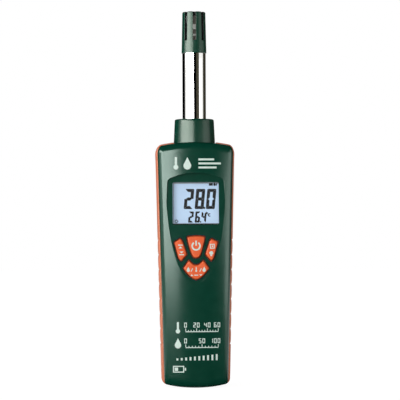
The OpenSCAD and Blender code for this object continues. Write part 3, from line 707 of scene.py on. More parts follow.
def build_collar(case, probe):
    """Conical collar with a rounded upper edge, and the flange that the case halves hold."""
    low, high = lowest("probe_collar").z, highest("probe_collar").z
    foot_r, top_r, bore = probe.collar_foot / 2, probe.collar_top / 2, probe.tube / 2
    seat = shoulder(case, foot_r) - 0.4 * MM
    flange, flange_top = highest("probe_collar").x, low + 2.6 * MM
    neck = foot_r - 1.9 * MM
    edge, r = 0.25 * MM, probe.collar_rounding
    profile = [(bore, low), (flange, low), (flange, flange_top), (neck, flange_top), (neck, seat),
               (foot_r - edge, seat), (foot_r, seat + edge)]
    profile.append((foot_r + (top_r - foot_r) * 0.9, seat + (high - seat) * 0.9))
    profile += [(top_r - r * come, high - r * rest) for come, rest in map(arc, spread(0, math.pi / 2, 6))]
    profile += [(top_r - r, high), (bore + 0.4 * MM, high), (bore + 0.02 * MM, high - 0.3 * MM)]
    even_shading(add_piece("collar", lathe(profile, 96), "green_satin",
                           stands_for="probe_collar"))


def build_tube(probe):
    """Polished steel tube, flared at its foot under the collar."""
    low, high = lowest("probe_tube").z, highest("probe_tube").z
    r, bore, lip_r = probe.tube / 2, probe.tube / 2 - probe.tube_wall, highest("probe_tube").x
    lip_top, edge, top = low + 1.2 * MM, high - 0.2 * MM, high - 0.02 * MM
    profile = [(bore, low), (lip_r, low), (lip_r, lip_top), (r, lip_top)]
    profile += [(r, z) for z in spread(low + 2 * MM, edge, 12)]
    profile += [(r, edge), (r - 0.1 * MM, top), (bore, top)]
    even_shading(add_piece("steel_tube", lathe(profile, 128), "polished_steel",
                           stands_for="probe_tube"))


def build_guard(probe):
    """Slotted guard: a plain ring, eight fingers with rounded edges and the disc that joins them."""
    low, high = lowest("sensor_guard").z, highest("sensor_guard").z
    foot_z = highest("probe_tube").z
    slots_z, roof_z = foot_z + probe.ring, high - probe.guard_roof
    foot_r, tip_r = probe.guard_foot / 2, probe.guard_tip / 2
    slots_r = foot_r + (tip_r - foot_r) * probe.ring / (high - foot_z)
    bore = tip_r - probe.guard_wall
    spigot_r = probe.tube / 2 - probe.tube_wall - 0.02 * MM
    spigot_bore = spigot_r - 1.1 * MM
    disc_r = bore - 0.3 * MM
    rings = {
        "spigot bore": (spigot_bore, low), "spigot": (spigot_r, low), "spigot top": (spigot_r, foot_z),
        "foot": (foot_r, foot_z), "slot foot": (slots_r, slots_z), "edge": (tip_r, high - 0.5 * MM),
        "brow": (tip_r - 0.15 * MM, high - 0.15 * MM), "tip": (tip_r - 0.5 * MM, high),
        "disc": (disc_r, high), "disc foot": (disc_r, roof_z), "roof": (bore, roof_z),
        "bore": (bore, slots_z), "bore foot": (spigot_bore, slots_z - 1 * MM),
    }
    # Columns of points: the number of the slot before them, the side of it, and the share of the finger
    columns = []
    for slot in range(8):
        columns += [(slot, -1, 0.0)] + [(slot, 1, share) for share in (0.0, 0.2, 0.4, 0.6, 0.8)]
    shell = Shell()
    at = {}
    pitch = math.pi / 4
    for name, (r, z) in rings.items():
        edge = math.asin(probe.slot / 2 / r)
        turns = [slot * pitch - math.pi / 2 + side * edge + share * (pitch - 2 * edge)
                 for slot, side, share in columns]
        at[name] = shell.loop([(r * math.cos(turn), z) for turn in turns],
                              [r * math.sin(turn) for turn in turns])
    disc_middle, roof_middle = shell.loop([(0, high), (0, roof_z)], 0)
    below = ["bore", "bore foot", "spigot bore", "spigot", "spigot top", "foot", "slot foot"]
    finger = ["slot foot", "edge", "brow", "tip", "disc"]
    for i, (_, side, share) in enumerate(columns):
        j = (i + 1) % len(columns)
        bands = list(zip(below, below[1:]))
        if side < 0:
            bands += [("slot foot", "bore"), ("disc", "disc foot")]
        else:
            bands += [*zip(finger, finger[1:]), ("disc foot", "roof"), ("roof", "bore")]
        shell.faces += [(at[a][i], at[a][j], at[b][j], at[b][i]) for a, b in bands]
        shell.faces.append((at["disc"][i], at["disc"][j], disc_middle))
        shell.faces.append((at["disc foot"][j], at["disc foot"][i], roof_middle))
        if share == 0:
            shell.faces.append(tuple(at[name][i] for name in finger + ["disc foot", "roof", "bore"]))
    piece = add_piece("slotted_guard", shell, "green_satin", stands_for="sensor_guard")
    # Painted shade: the inside of the guard and the walls of its slots get the near-black finish, where
    # shade falls.
    blacken(piece, lambda x, y, z: (math.hypot(x, y) < tip_r - 0.3 * MM
                                    and slots_z - 0.5 * MM < z < high - 0.3 * MM))
    soften(piece, probe.slot_edge)


# Thin printed and switched-on marks. Each is an outline with its holes, in millimetres

def plate_mark(name, plates, depth, look, body="meter", base=0.0):
    """A piece made of thin closed plates. base is the height that the plates' own heights start from."""
    thickness = 0.03 * MM
    shell = Shell()
    for outline, holes in plates:
        rims = [[(x * MM, base + z * MM) for x, z in rim] for rim in [outline] + holes]
        front = [shell.loop(rim, depth) for rim in rims]
        back = [shell.loop(rim, [shell.points[i][1] + thickness for i in loop])
                for rim, loop in zip(rims, front)]
        for side in (front, back):
            shell.fill(side[0], side[1:], depth)
        for loops in zip(front, back):
            shell.bridge(*loops)
    return add_piece(name, shell, look, body)


def circle(x, z, r, count=24, start=0.0, turn=2 * math.pi):
    """Points round a circle, or round a part of it."""
    last = count if abs(turn - 2 * math.pi) > 0.001 else count - 1
    angles = [start + turn * i / count for i in range(last + 1)]
    return [(x + r * math.cos(a), z + r * math.sin(a)) for a in angles]


def dot(x, z, r, count):
    """A filled circle."""
    return circle(x, z, r, count), []


def ring(x, z, r, stroke, count):
    """A circle drawn with a stroke."""
    return circle(x, z, r, count), [circle(x, z, r - stroke, count)]


def open_ring(x, z, outer, inner, start, turn, count):
    """A part of a ring, from an angle in degrees and through a turn."""
    start, turn = math.radians(start), math.radians(turn)
    return circle(x, z, outer, count, start, turn) + circle(x, z, inner, count, start + turn, -turn), []


def bar(ax, az, bx, bz, width):
    """A straight bar with cut ends, with points close enough together to follow a crowned face."""
    longest_step = 2
    start, end = Vector((ax, az)), Vector((bx, bz))
    count = max(1, math.ceil((end - start).length / longest_step))
    side = (end - start).orthogonal().normalized() * width / 2
    line = [start.lerp(end, i / count) for i in range(count + 1)]
    return [tuple(p - side) for p in line] + [tuple(p + side) for p in reversed(line)], []


def level_bar(ax, bx, z, width):
    """A bar that lies level."""
    return bar(ax, z, bx, z, width)


def drop_mark(x, z, r):
    """A water drop with its round foot about x, z."""
    tall = 2.2
    reach = math.acos(1 / tall)
    return circle(x, z, r, 20, math.pi / 2 + reach, 2 * math.pi - 2 * reach) + [(x, z + tall * r)], []


def thermometer_mark(x, z, height):
    """A thermometer with its bulb's lower edge at z."""
    bulb, stem = 0.19 * height, 0.09 * height
    reach = math.asin(stem / bulb)
    foot_arc = circle(x, z + bulb, bulb, 18, math.pi / 2 + reach, 2 * math.pi - 2 * reach)
    return foot_arc + circle(x, z + height - stem, stem, 10, 0, math.pi), []


def arrow_mark(x, z, size, up):
    """A triangle about x, z that points up where up is 1, and down where it is -1."""
    tip = size * up
    return [(x - size, z - tip / 2), (x + size, z - tip / 2), (x, z + tip / 2)], []


SEGMENTS = {
    "0": "abcdef", "1": "bc", "2": "abged", "3": "abgcd", "4": "fgbc", "5": "afgcd", "6": "afgedc",
    "7": "abc", "8": "abcdefg", "9": "abcdfg",
}


def digit_segments(digit, x, z, width, height, stroke, slant=0.09):
    """The plates of one seven-segment digit, with its lower left corner at x, z."""
    gap, half, mid = 0.01 * stroke, stroke / 2, height / 2
    near, far = stroke + gap, width - stroke - gap

    def flipped(plate, across, over):
        return [(width - p if across else p, height - q if over else q) for p, q in plate]

    low = [(gap, 0), (near, stroke), (far, stroke), (width - gap, 0)]
    side = [(0, gap), (0, mid - gap), (half, mid - gap), (stroke, mid - half - gap), (stroke, near)]
    cross = [(half + gap, mid), (near, mid + half), (far, mid + half), (width - half - gap, mid),
             (far, mid - half), (near, mid - half)]
    bars = {
        "a": flipped(low, False, True), "b": flipped(side, True, True), "c": flipped(side, True, False),
        "d": low, "e": side, "f": flipped(side, False, True), "g": cross,
    }
    plates = []
    for letter in SEGMENTS[digit]:
        outline = [(x + p + slant * q, z + q) for p, q in bars[letter]]
        if area(outline) < 0:
            outline.reverse()
        plates.append((round_corners(outline, 0.12 * stroke, 2), []))
    return plates


def area(loop):
    """Signed area of a flat loop, positive if it runs anticlockwise."""
    return sum(ax * bz - bx * az for (ax, az), (bx, bz) in zip(loop, loop[1:] + loop[:1])) / 2


def power_symbol():
    """A ring that is open at its top, with an upright bar, from the panel's tip."""
    z = 22.2
    return [open_ring(0, z, 2.8, 1.85, 125, 290, 40), bar(0, z + 0.2, 0, z + 3.2, 0.85)]


def left_symbol():
    """An arrow up to a line and an arrow down to a line."""
    plates = []
    for x, z, up in ((-9.3, 21.9, 1), (-8.7, 17.9, -1)):
        plates += [arrow_mark(x, z - up * 0.5, 1.2, up), level_bar(x - 1.4, x + 1.4, z + up * 0.85, 0.6)]
    return plates


def right_symbol():
    """A framed dot, and a lamp with its cap."""
    hold_x, hold_z, half = 9.7, 22, 1.4
    lamp_x, lamp_z = 9, 17.6
    box = rectangle(hold_x - half, hold_z - half, hold_x + half, hold_z + half)
    return [
        (box, [moved_corners(box, -0.5)]), level_bar(hold_x - 0.4, hold_x + 0.4, hold_z, 0.8),
        dot(lamp_x, lamp_z + 0.4, 1.15, 18), level_bar(lamp_x - 0.5, lamp_x + 0.5, lamp_z - 1.15, 0.6),
    ]


def lower_symbol():
    """A thermometer between two strokes and two drops, over two arrows with a bar between them."""
    upper_z, lower_z = 8, 4.9
    plates = [thermometer_mark(0, upper_z - 1.15, 2.9), level_bar(-1.1, 1.1, lower_z, 0.55)]
    for side in (-1, 1):
        stroke_x = 2.6 * side
        plates.append(drop_mark(4.7 * side, upper_z - 0.2, 0.95))
        plates.append(bar(stroke_x - 0.5, upper_z - 1, stroke_x + 0.5, upper_z + 1, 0.45))
        plates.append(arrow_mark(2.7 * side, lower_z, 0.95, -side))
    return plates


def display_marks():
    """Two numbers, a degree sign with its letter, a sun, and a row of small signs, from the middle."""
    plates = [dot(5.1, -2.65, 0.65, 12), dot(2.9, -11, 0.45, 10), ring(6.9, -5.9, 0.6, 0.42, 14),
              open_ring(8.2, -6.9, 1, 0.4, 50, 260, 14), level_bar(7.9, 10.3, 11.3, 1.5),
              drop_mark(11.3, 11.1, 0.75), bar(12.3, 10.6, 12.7, 12, 0.6)]
    for number, lefts, *size in (("280", (-7.2, -0.65, 5.95), -3.35, 5.35, 12, 1.85),
                                 ("264", (-4.6, -0.65, 3.05), -11.4, 2.95, 6.6, 1.15)):
        for digit, left in zip(number, lefts):
            plates += digit_segments(digit, left, *size)
    sun_x, sun_z = -11.6, -10.6
    plates.append(ring(sun_x, sun_z, 0.9, 0.4, 18))
    for turn in spread(0, 2 * math.pi, 8):
        dx, dz = math.cos(turn), math.sin(turn)
        plates.append(bar(sun_x + 1.05 * dx, sun_z + 1.05 * dz, sun_x + 1.4 * dx, sun_z + 1.4 * dz, 0.3))
    return plates


def scale_marks(z, ticks, numbers):
    """A level scale with its ticks, and with numbers at the longer ones."""
    left, right, digit_pitch = -6.4, 13, 2.15
    each = ticks // (len(numbers) - 1)
    plates = [level_bar(left, right, z, 0.5)]
    for i in range(ticks + 1):
        x = left + (right - left) * i / ticks
        plates.append(bar(x, z + 0.3, x, z + (1 if i % each else 1.9), 0.4))
    for i, number in enumerate(numbers):
        half = digit_pitch * len(number) / 2
        x = min(left + (right - left) * i / (len(numbers) - 1), right + 1.5 - half)
        for place, digit in enumerate(number):
            start = x - half + 0.2 + place * digit_pitch
            plates += digit_segments(digit, start, z + 2.5, 1.6, 2.9, 0.46, 0)
    return plates


def face_marks():
    """Signs and bars over the panel, two scales under it, a row of growing bars and a battery."""
    brow_z = panel_high_z() / MM + 1.9
    plates = [thermometer_mark(-11.8, brow_z, 7.6), drop_mark(-5, brow_z + 2.3, 2.3)]
    for row, end in enumerate((12.4, 15, 11)):
        plates.append(level_bar(1.6, end, brow_z + 1.2 + 2.4 * row, 1.15))
    plates += scale_marks(33.6, 12, ("0", "20", "40", "60"))
    plates += scale_marks(24.2, 10, ("0", "50", "100"))
    plates += [thermometer_mark(-11, 32.6, 6.8), drop_mark(-11, 25.6, 1.9)]
    growing_z = 16.6
    for i in range(10):
        x = -11.4 + 2.6 * i
        plates.append(bar(x, growing_z, x, growing_z + 1.2 + 0.26 * i, 1.1))
    low_z, mid_z, high_z = 9.7, 11.4, 13.1
    plates += [level_bar(-14, -7.4, z, 0.6) for z in (low_z, high_z)]
    plates += [bar(x, low_z, x, high_z, 0.6) for x in (-13.7, -7.7)]
    return plates + [level_bar(-7.1, -6.3, mid_z, 1.7), level_bar(-13, -11, mid_z, 2)]


# Materials

def add_node(tree, kind, inputs, **settings):
    """Adds a shader node with its settings and inputs."""
    node = tree.nodes.new("ShaderNode" + kind)
    for name, value in settings.items():
        setattr(node, name, value)
    set_inputs(tree, node, inputs)
    return node


def set_inputs(tree, node, inputs):
    """Gives a node's inputs their values, or joins them to another node's output."""
    for name, value in inputs.items():
        if isinstance(value, bpy.types.NodeSocket):
            tree.links.new(value, node.inputs[name])
        else:
            node.inputs[name].default_value = value


def show_mix(tree, share, first, second):
    """Lets a surface show a mix of two shaders."""
    mix = add_node(tree, "MixShader", {"Fac": share, 1: first, 2: second})
    set_inputs(tree, tree.nodes["Material Output"], {"Surface": mix.outputs["Shader"]})


class Look:
    """A node material that starts from a principled shader. Its sizes are in millimetres."""

    def __init__(self, name, base, roughness, metallic=0.0, specular=0.5):
        self.material = bpy.data.materials.new(name)
        self.material.use_nodes = True
        self.tree = self.material.node_tree
        self.shader = self.tree.nodes["Principled BSDF"]
        self.base = base
        self.roughness = roughness
        self.set({"Base Color": (*base, 1), "Roughness": roughness, "Metallic": metallic,
                  "Specular IOR Level": specular})
        self.place = self.add("TexCoord", {}).outputs["Object"]
        self.normal = None

    def add(self, kind, inputs, **settings):
        """Adds a node."""
        return add_node(self.tree, kind, inputs, **settings)

    def set(self, inputs):
        """Sets or joins inputs of the shader."""
        set_inputs(self.tree, self.shader, inputs)

    def noise(self, size, detail, stretch=(1, 1, 1)):
        """A noise whose grains have the given size."""
        place = self.add("Mapping", {"Vector": self.place, "Scale": stretch}).outputs["Vector"]
        inputs = {"Vector": place, "Scale": 1 / (size * MM), "Detail": detail}
        return self.add("TexNoise", inputs).outputs["Fac"]

    def between(self, value, low, high):
        """Spreads a noise from low to high."""
        inputs = {"Value": value, "From Min": 0.3, "From Max": 0.7, "To Min": low, "To Max": high}
        return self.add("MapRange", inputs).outputs["Result"]

    def blend(self, share, first, second):
        """Makes the base colour a blend of two."""
        mix = self.add("Mix", {"Factor": share, "A": first, "B": second}, data_type="RGBA")
        self.set({"Base Color": mix.outputs["Result"]})
        return self

    def mottle(self, size, amount):
        """Lets the colour drift a little lighter and darker."""
        dark = [c * (1 - amount) for c in self.base]
        light = [min(c * (1 + amount) + 0.002, 1) for c in self.base]
        return self.blend(self.between(self.noise(size, 3), 0, 1), (*dark, 1), (*light, 1))

    def uneven_gloss(self, size, amount):
        """Lets the roughness drift."""
        low, high = self.roughness - amount, self.roughness + amount
        self.set({"Roughness": self.between(self.noise(size, 3), low, high)})
        return self

    def worn_edges(self, tone, amount):
        """Lightens the colour in patches along the sharp edges."""
        inputs = {"Value": self.add("NewGeometry", {}).outputs["Pointiness"],
                  "From Min": 0.53, "From Max": 0.62, "To Max": amount}
        edge = self.add("MapRange", inputs).outputs["Result"]
        patches = self.between(self.noise(2, 4), 0, 1)
        share = self.add("Math", {0: edge, 1: patches}, operation="MULTIPLY").outputs[0]
        return self.blend(share, self.shader.inputs["Base Color"].links[0].from_socket, (*tone, 1))

    def grain(self, size, depth, detail=2, stretch=(1, 1, 1)):
        """Adds a fine relief, on top of any before it."""
        inputs = {"Distance": depth * MM, "Strength": 1, "Height": self.noise(size, detail, stretch)}
        if self.normal:
            inputs["Normal"] = self.normal
        self.normal = self.add("Bump", inputs).outputs["Normal"]
        self.set({"Normal": self.normal})
        return self


def green_moulding(name, tones, roughness, tint, grain_depth):
    """Smooth green moulding, whose highlights keep a little of its green."""
    look = Look(name, tones.green, roughness, specular=0.55)
    look.set({"Specular Tint": (*tint, 1)})
    look.mottle(6, 0.05).uneven_gloss(7, 0.012).grain(0.4, grain_depth).grain(2.2, 0.004)
    return look.worn_edges((0.06, 0.16, 0.12), 0.16)


def green_plastic(tones):
    """The glossy moulding of the case."""
    return green_moulding("green_plastic", tones, 0.17, (0.84, 1, 0.92), 0.0012)


def green_satin(tones):
    """The finely textured moulding of the collar and the guard."""
    return green_moulding("green_satin", tones, 0.25, (0.94, 1, 0.9), 0.004)


def orange_rubber(tones):
    """The soft rubber of the grips."""
    look = Look("orange_rubber", tones.orange, 0.44, specular=0.42)
    return look.mottle(5, 0.04).uneven_gloss(4, 0.05).grain(0.25, 0.01).worn_edges((0.8, 0.36, 0.22), 0.3)


def key_rubber(tones):
    """The brighter silicone of the keys."""
    look = Look("key_rubber", tones.key_orange, 0.38, specular=0.35)
    return look.mottle(3, 0.04).uneven_gloss(3, 0.04).grain(0.3, 0.004).worn_edges((0.95, 0.3, 0.12), 0.25)


def polished_steel(tones):
    """The drawn and polished steel of the tube, with its grain along it."""
    look = Look("polished_steel", tones.steel, 0.06, 1.0).uneven_gloss(3, 0.015)
    return look.grain(0.6, 0.0002, 3, (1, 1, 12))


def printed_white(tones):
    """The ink of the printed marks."""
    return Look("printed_white", tones.print_white, 0.5, specular=0.2).mottle(1.5, 0.04).grain(0.2, 0.002)


def display_face(tones):
    """The pale face of the display, with a painted glow that grows towards its lower edge, where the recess
    shades it.
    """
    look = Look("display_face", tones.display_blue, 0.4, specular=0.1)
    # Painted glow: emission from 0.28 at the display's lower edge to 0.15 at its top, lifting the recess's
    # shade
    inputs = {"Value": look.add("SeparateXYZ", {"Vector": look.place}).outputs["Z"],
              "From Min": lowest("display_glass").z, "From Max": highest("display_glass").z,
              "To Min": 0.28, "To Max": 0.15}
    painted_glow = look.add("MapRange", inputs).outputs["Result"]
    look.set({"Emission Color": (*tones.display_blue, 1), "Emission Strength": painted_glow})
    return look.mottle(14, 0.015).grain(0.5, 0.001)


def segment_black(tones):
    """The dark of the switched-on segments, also used for the painted shade along the display's lower edge.
    """
    return Look("segment_black", tones.display_black, 0.6, specular=0).mottle(2, 0.1).grain(0.5, 0.001)


def clear_pane(tones):
    """A clear moulded pane that lets the light and its shadow rays through."""
    look = Look("clear_pane", (0.97, 0.99, 1.0), 0.03).uneven_gloss(12, 0.01).grain(20, 0.002)
    look.set({"Transmission Weight": 1, "IOR": 1.45})
    path = look.add("LightPath", {}).outputs
    either = look.add("Math", {0: path["Is Shadow Ray"], 1: path["Is Diffuse Ray"]}, operation="MAXIMUM")
    clear = look.add("BsdfTransparent", {})
    show_mix(look.tree, either.outputs[0], look.shader.outputs["BSDF"], clear.outputs["BSDF"])
    return look


FINISHES = {
    make.__name__: make
    for make in (green_plastic, green_satin, orange_rubber, key_rubber, polished_steel, printed_white,
                 display_face, segment_black, clear_pane)
}

PLAIN_FINISHES = {
    # The colour on a screen, roughness, metallic, the mottle's size and amount, the grain's size and depth
    "screw_steel": ((176, 176, 174), 0.28, 1.0, 2, 0.06, 0.25, 0.003),
    "crystal_can": ((190, 190, 186), 0.22, 1.0, 2, 0.04, 0.3, 0.002),
    "carbon": ((26, 26, 27), 0.7, 0.0, 1, 0.1, 0.1, 0.005),
    "dark_rubber": ((62, 62, 64), 0.65, 0.0, 2, 0.08, 0.15, 0.006),
    "foam": ((38, 38, 40), 0.9, 0.0, 1, 0.2, 0.3, 0.05),
    "pale_plastic": ((222, 222, 214), 0.4, 0.0, 4, 0.03, 0.3, 0.004),
    "circuit_board": ((18, 84, 46), 0.35, 0.0, 2, 0.15, 0.5, 0.006),
    "sensor_substrate": ((112, 106, 98), 0.4, 0.0, 1.2, 0.12, 0.3, 0.004),
    "gold_plating": ((214, 176, 92), 0.25, 1.0, 1, 0.06, 0.2, 0.002),
    "chip_black": ((24, 24, 26), 0.5, 0.0, 2, 0.08, 0.12, 0.004),
    "capacitor_sleeve": ((34, 40, 78), 0.3, 0.0, 2, 0.05, 0.5, 0.003),
    "battery_jacket": ((52, 54, 60), 0.35, 0.3, 5, 0.06, 0.4, 0.003),
    "white_ceramic": ((232, 232, 226), 0.35, 0.0, 1, 0.03, 0.2, 0.003),
    "red_wire": ((160, 16, 14), 0.4, 0.0, 3, 0.06, 0.4, 0.004),
    "black_wire": ((14, 14, 15), 0.4, 0.0, 3, 0.06, 0.4, 0.004),
    "label_grey": ((168, 170, 166), 0.45, 0.0, 3, 0.03, 0.2, 0.003),
    # Painted shade: the grey of the bars along the display's upper and left edges
    "display_rim": ((112, 118, 126), 0.5, 0.0, 3, 0.05, 0.2, 0.003),
    # Painted shade: near-black for the key openings' walls and the inside of the guard
    "key_well": ((7, 6, 6), 0.8, 0.0, 2, 0.1, 0.2, 0.01),
}


def plain_finish(name):
    """The finish of pieces that are small or mostly hidden."""
    tone, rough, metal, patch, drift, grain, depth = PLAIN_FINISHES[name]
    look = Look(name, [screen_to_linear(level / 255) for level in tone], rough, metal)
    return look.mottle(patch, drift).uneven_gloss(patch, 0.04).grain(grain, depth)


MADE = {}


def finish(name):
    """The material of a finish, which is made the first time that it is asked for."""
    if name not in MADE:
        tones = bpy.context.scene.psychrometer_finishes
        look = FINISHES[name](tones) if name in FINISHES else plain_finish(name)
        MADE[name] = look.material
    return MADE[name]


def dress_node(name, look, edge=0.12):
    """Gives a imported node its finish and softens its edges, without a change to its mesh."""
    node = frame["nodes"][name]
    node.data.materials.clear()
    node.data.materials.append(finish(look))
    weld = node.modifiers.new("Joined corners", "WELD")
    weld.merge_threshold = 0.002 * MM
    soften(node, edge * MM, 35)


# Operators

class MakeCase(bpy.types.Operator):
    """Build both halves of the case"""

    bl_idname = "psychrometer.make_case"
    bl_label = "Case"

    def execute(self, context):
        build_front_case(context.scene.psychrometer_case)
        dress_node("rear_case", "green_plastic", 0.2)
        dress_node("battery_door", "green_plastic", 0.25)
        dress_node("case_screws", "screw_steel")
        dress_node("rear_label", "label_grey", 0.05)
        return {"FINISHED"}


class MakeGrips(bpy.types.Operator):
    """Build the two soft side grips"""

    bl_idname = "psychrometer.make_grips"
    bl_label = "Side grips"

    def execute(self, context):
        for side in (-1, 1):
            build_grip(context.scene.psychrometer_case, side)
        return {"FINISHED"}


class MakeKeys(bpy.types.Operator):
    """Build the four keys with their symbols"""

    bl_idname = "psychrometer.make_keys"
    bl_label = "Keys"

    def execute(self, context):
        case = context.scene.psychrometer_case

        def above(x, z):
            return panel_depth(case, x, z) - case.key_raise - 0.08 * MM

        for name in KEYS:
            build_key(case, name)
        for name, plates in zip(KEYS, (power_symbol(), left_symbol(), right_symbol(), lower_symbol())):
            symbol = name.replace("key", "symbol")
            plate_mark(symbol, plates, above, "printed_white", name, panel_low_z())
        return {"FINISHED"}


class MakeDisplay(bpy.types.Operator):
    """Build the window, the display with its switched-on segments, and painted shade along the display's
    edges
    """

    bl_idname = "psychrometer.make_display"
    bl_label = "Display"

    def execute(self, context):
        dress_node("display_window", "clear_pane", 0.08)
        dress_node("display_glass", "display_face", 0.05)
        depth = lowest("display_glass").y - 0.03 * MM
        base = middle("display_glass").z
        low, high = lowest("display_window"), highest("display_window")
        half = (high.x - low.x) / 2 / MM - 1.4
        low_z, high_z = (low.z - base) / MM + 1.9, (high.z - base) / MM - 2
        side_x = 0.75 - half
        # Painted shade: a black bar along the display's lower edge, under the window's rim, with the
        # switched-on segments
        marks_and_shade = display_marks() + [level_bar(-half, half, low_z, 0.8)]
        # Painted shade: grey bars along the display's upper and left edges, where the window's rim shades
        # it
        edge_shade_bars = [level_bar(-half, half, high_z, 0.7), bar(side_x, low_z + 0.5, side_x, high_z - 0.4, 0.35)]
        plate_mark("display_digits", marks_and_shade, depth, "segment_black", base=base)
        plate_mark("display_border", edge_shade_bars, depth, "display_rim", base=base)
        return {"FINISHED"}


class MakePrint(bpy.types.Operator):
    """Print plain pictograms and scales on the face"""

    bl_idname = "psychrometer.make_print"
    bl_label = "Print"

    def execute(self, context):
        case = context.scene.psychrometer_case
        plate_mark("face_print", face_marks(), lambda x, z: crown_depth(case, x, z) - 0.02 * MM,
                   "printed_white")
        return {"FINISHED"}


class MakeProbe(bpy.types.Operator):
    """Build the collar, the steel tube, the guard and the sensors inside it"""

    bl_idname = "psychrometer.make_probe"
    bl_label = "Probe"

    def execute(self, context):
        probe = context.scene.psychrometer_probe
        build_collar(context.scene.psychrometer_case, probe)
        build_tube(probe)
        build_guard(probe)
        dress_node("sensor_board", "sensor_substrate", 0.05)
        for name in ("humidity_element", "thermistor"):
            dress_node(name, "white_ceramic", 0.1)
        dress_node("sensor_cable", "black_wire", 0.02)
        return {"FINISHED"}


class MakeInside(bpy.types.Operator):
    """Dress the pieces inside the case"""

    bl_idname = "psychrometer.make_inside"
    bl_label = "Inside"

    def execute(self, context):
        dressed = {o.name for o in frame["nodes"].values() if o.modifiers or not o.visible_get()}
        for row in frame["record"]["subparts"]:
            node, slot = row["node"], row["material_slot"]
            if node not in dressed and slot in PLAIN_FINISHES:
                dress_node(node, slot, 0.08)
        return {"FINISHED"}


class MakeStudio(bpy.types.Operator):
    """Set up the floor, the camera and the light"""

    bl_idname = "psychrometer.make_studio"
    bl_label = "Studio"

    def execute(self, context):
        studio = context.scene.psychrometer_studio
        make_floor()
        make_camera(studio)
        make_world(studio)
        make_lights(studio)
        context.scene.view_settings.view_transform = "Standard"
        return {"FINISHED"}


# Studio

WHITE = (1, 1, 1)
BLACK = (0.002, 0.002, 0.002)
BROWN = (0.05, 0.046, 0.032)


def add_surface(name, points, faces, material):
    """A surface of the studio, which isn't part of the meter."""
    mesh = bpy.data.meshes.new(name)
    mesh.from_pydata(points, [], faces)
    mesh.materials.append(material)
    surface = add_object(name, mesh)
    return surface


def make_floor():
    """A plain pale floor that keeps the meter's shadow."""
    half = 3.0
    floor = Look("pale_floor", (0.9, 0.9, 0.9), 0.9, specular=0)
    glow = floor.add("Emission", {"Strength": 1.12})
    share = floor.add("MapRange", {"Value": seen_rays(floor.tree), "To Max": 0.85})
    show_mix(floor.tree, share.outputs["Result"], floor.shader.outputs["BSDF"], glow.outputs["Emission"])
    corners = [(x, y, 0) for x, y in rectangle(-half, -half, half, half)]
    add_surface("floor", corners, [(0, 1, 2, 3)], floor.material)


def seen_rays(tree):
    """1 for the rays that show the background: from the camera, mirrored or through glass."""
    path = add_node(tree, "LightPath", {})
    total = path.outputs["Is Camera Ray"]
    for name in ("Is Glossy Ray", "Is Transmission Ray"):
        inputs = {0: total, 1: path.outputs[name]}
        total = add_node(tree, "Math", inputs, operation="ADD", use_clamp=True).outputs[0]
    return total


def make_camera(studio):
    """The camera, a little to the left of the meter and level with its middle."""
    data = bpy.data.cameras.new("camera")
    data.lens = studio.lens
    data.sensor_width = 36
    data.clip_start = 0.05
    data.clip_end = 20
    camera = add_object("camera", data)
    camera.location = bearing(studio, 0, studio.distance, 97.5 * MM)
    target = Vector((3.25 * MM, 0, 111.9 * MM))
    camera.rotation_euler = (target - camera.location).to_track_quat("-Z", "Y").to_euler()
    camera.rotation_euler.rotate_axis("Z", -studio.roll)
    bpy.context.scene.camera = camera


def make_world(studio):
    """White for the camera and in reflections, and a soft level light from all round."""
    world = bpy.data.worlds.new("studio")
    bpy.context.scene.world = world
    world.use_nodes = True
    tree = world.node_tree
    level = add_node(tree, "MapRange", {"Value": seen_rays(tree), "To Min": studio.ambient, "To Max": 1})
    set_inputs(tree, tree.nodes["Background"], {"Color": (*WHITE, 1), "Strength": level.outputs["Result"]})


def bearing(studio, degrees, distance, z):
    """A place at an angle to the right of the line from the meter to the camera."""
    turn = math.radians(degrees) - studio.azimuth
    return Vector((distance * math.sin(turn), -distance * math.cos(turn), z))


def add_light(name, place, width, height, power):
    """A soft rectangular light that is aimed at the meter and isn't seen in reflections."""
    data = bpy.data.lights.new(name, "AREA")
    data.shape = "RECTANGLE"
    data.size = width
    data.size_y = height
    data.energy = power
    light = add_object(name, data)
    light.location = place
    light.rotation_euler = (Vector((0, 0, 0.11)) - place).to_track_quat("-Z", "Y").to_euler()
    light.visible_glossy = False


def card_finish(name, tone, level=0.0):
    """A plain matte finish with an even glow."""
    card = Look(name, tone, 1, specular=0)
    card.set({"Emission Color": (*tone, 1), "Emission Strength": level})
    return card.material


def add_card(name, points, faces, material):
    """A card that only reflections see."""
    card = add_surface(name, points, faces, material)
    card.visible_camera = False
    card.visible_diffuse = False
    card.visible_shadow = False
    card.visible_transmission = False


def add_bent_card(studio, name, radius, material, *edges):
    """A bent upright card. edges holds its bearings with their lower and upper heights, in metres."""
    points, faces = [], []
    for (start, low_a, high_a), (end, low_b, high_b) in zip(edges, edges[1:]):
        steps = max(1, math.ceil(abs(end - start) / 6))
        for i in range(steps + 1):
            t = i / steps
            for z in (low_a + (low_b - low_a) * t, high_a + (high_b - high_a) * t):
                points.append(tuple(bearing(studio, start + (end - start) * t, radius, z)))
            if i:
                n = len(points)
                faces.append((n - 4, n - 2, n - 1, n - 3))
    add_card(name, points, faces, material)


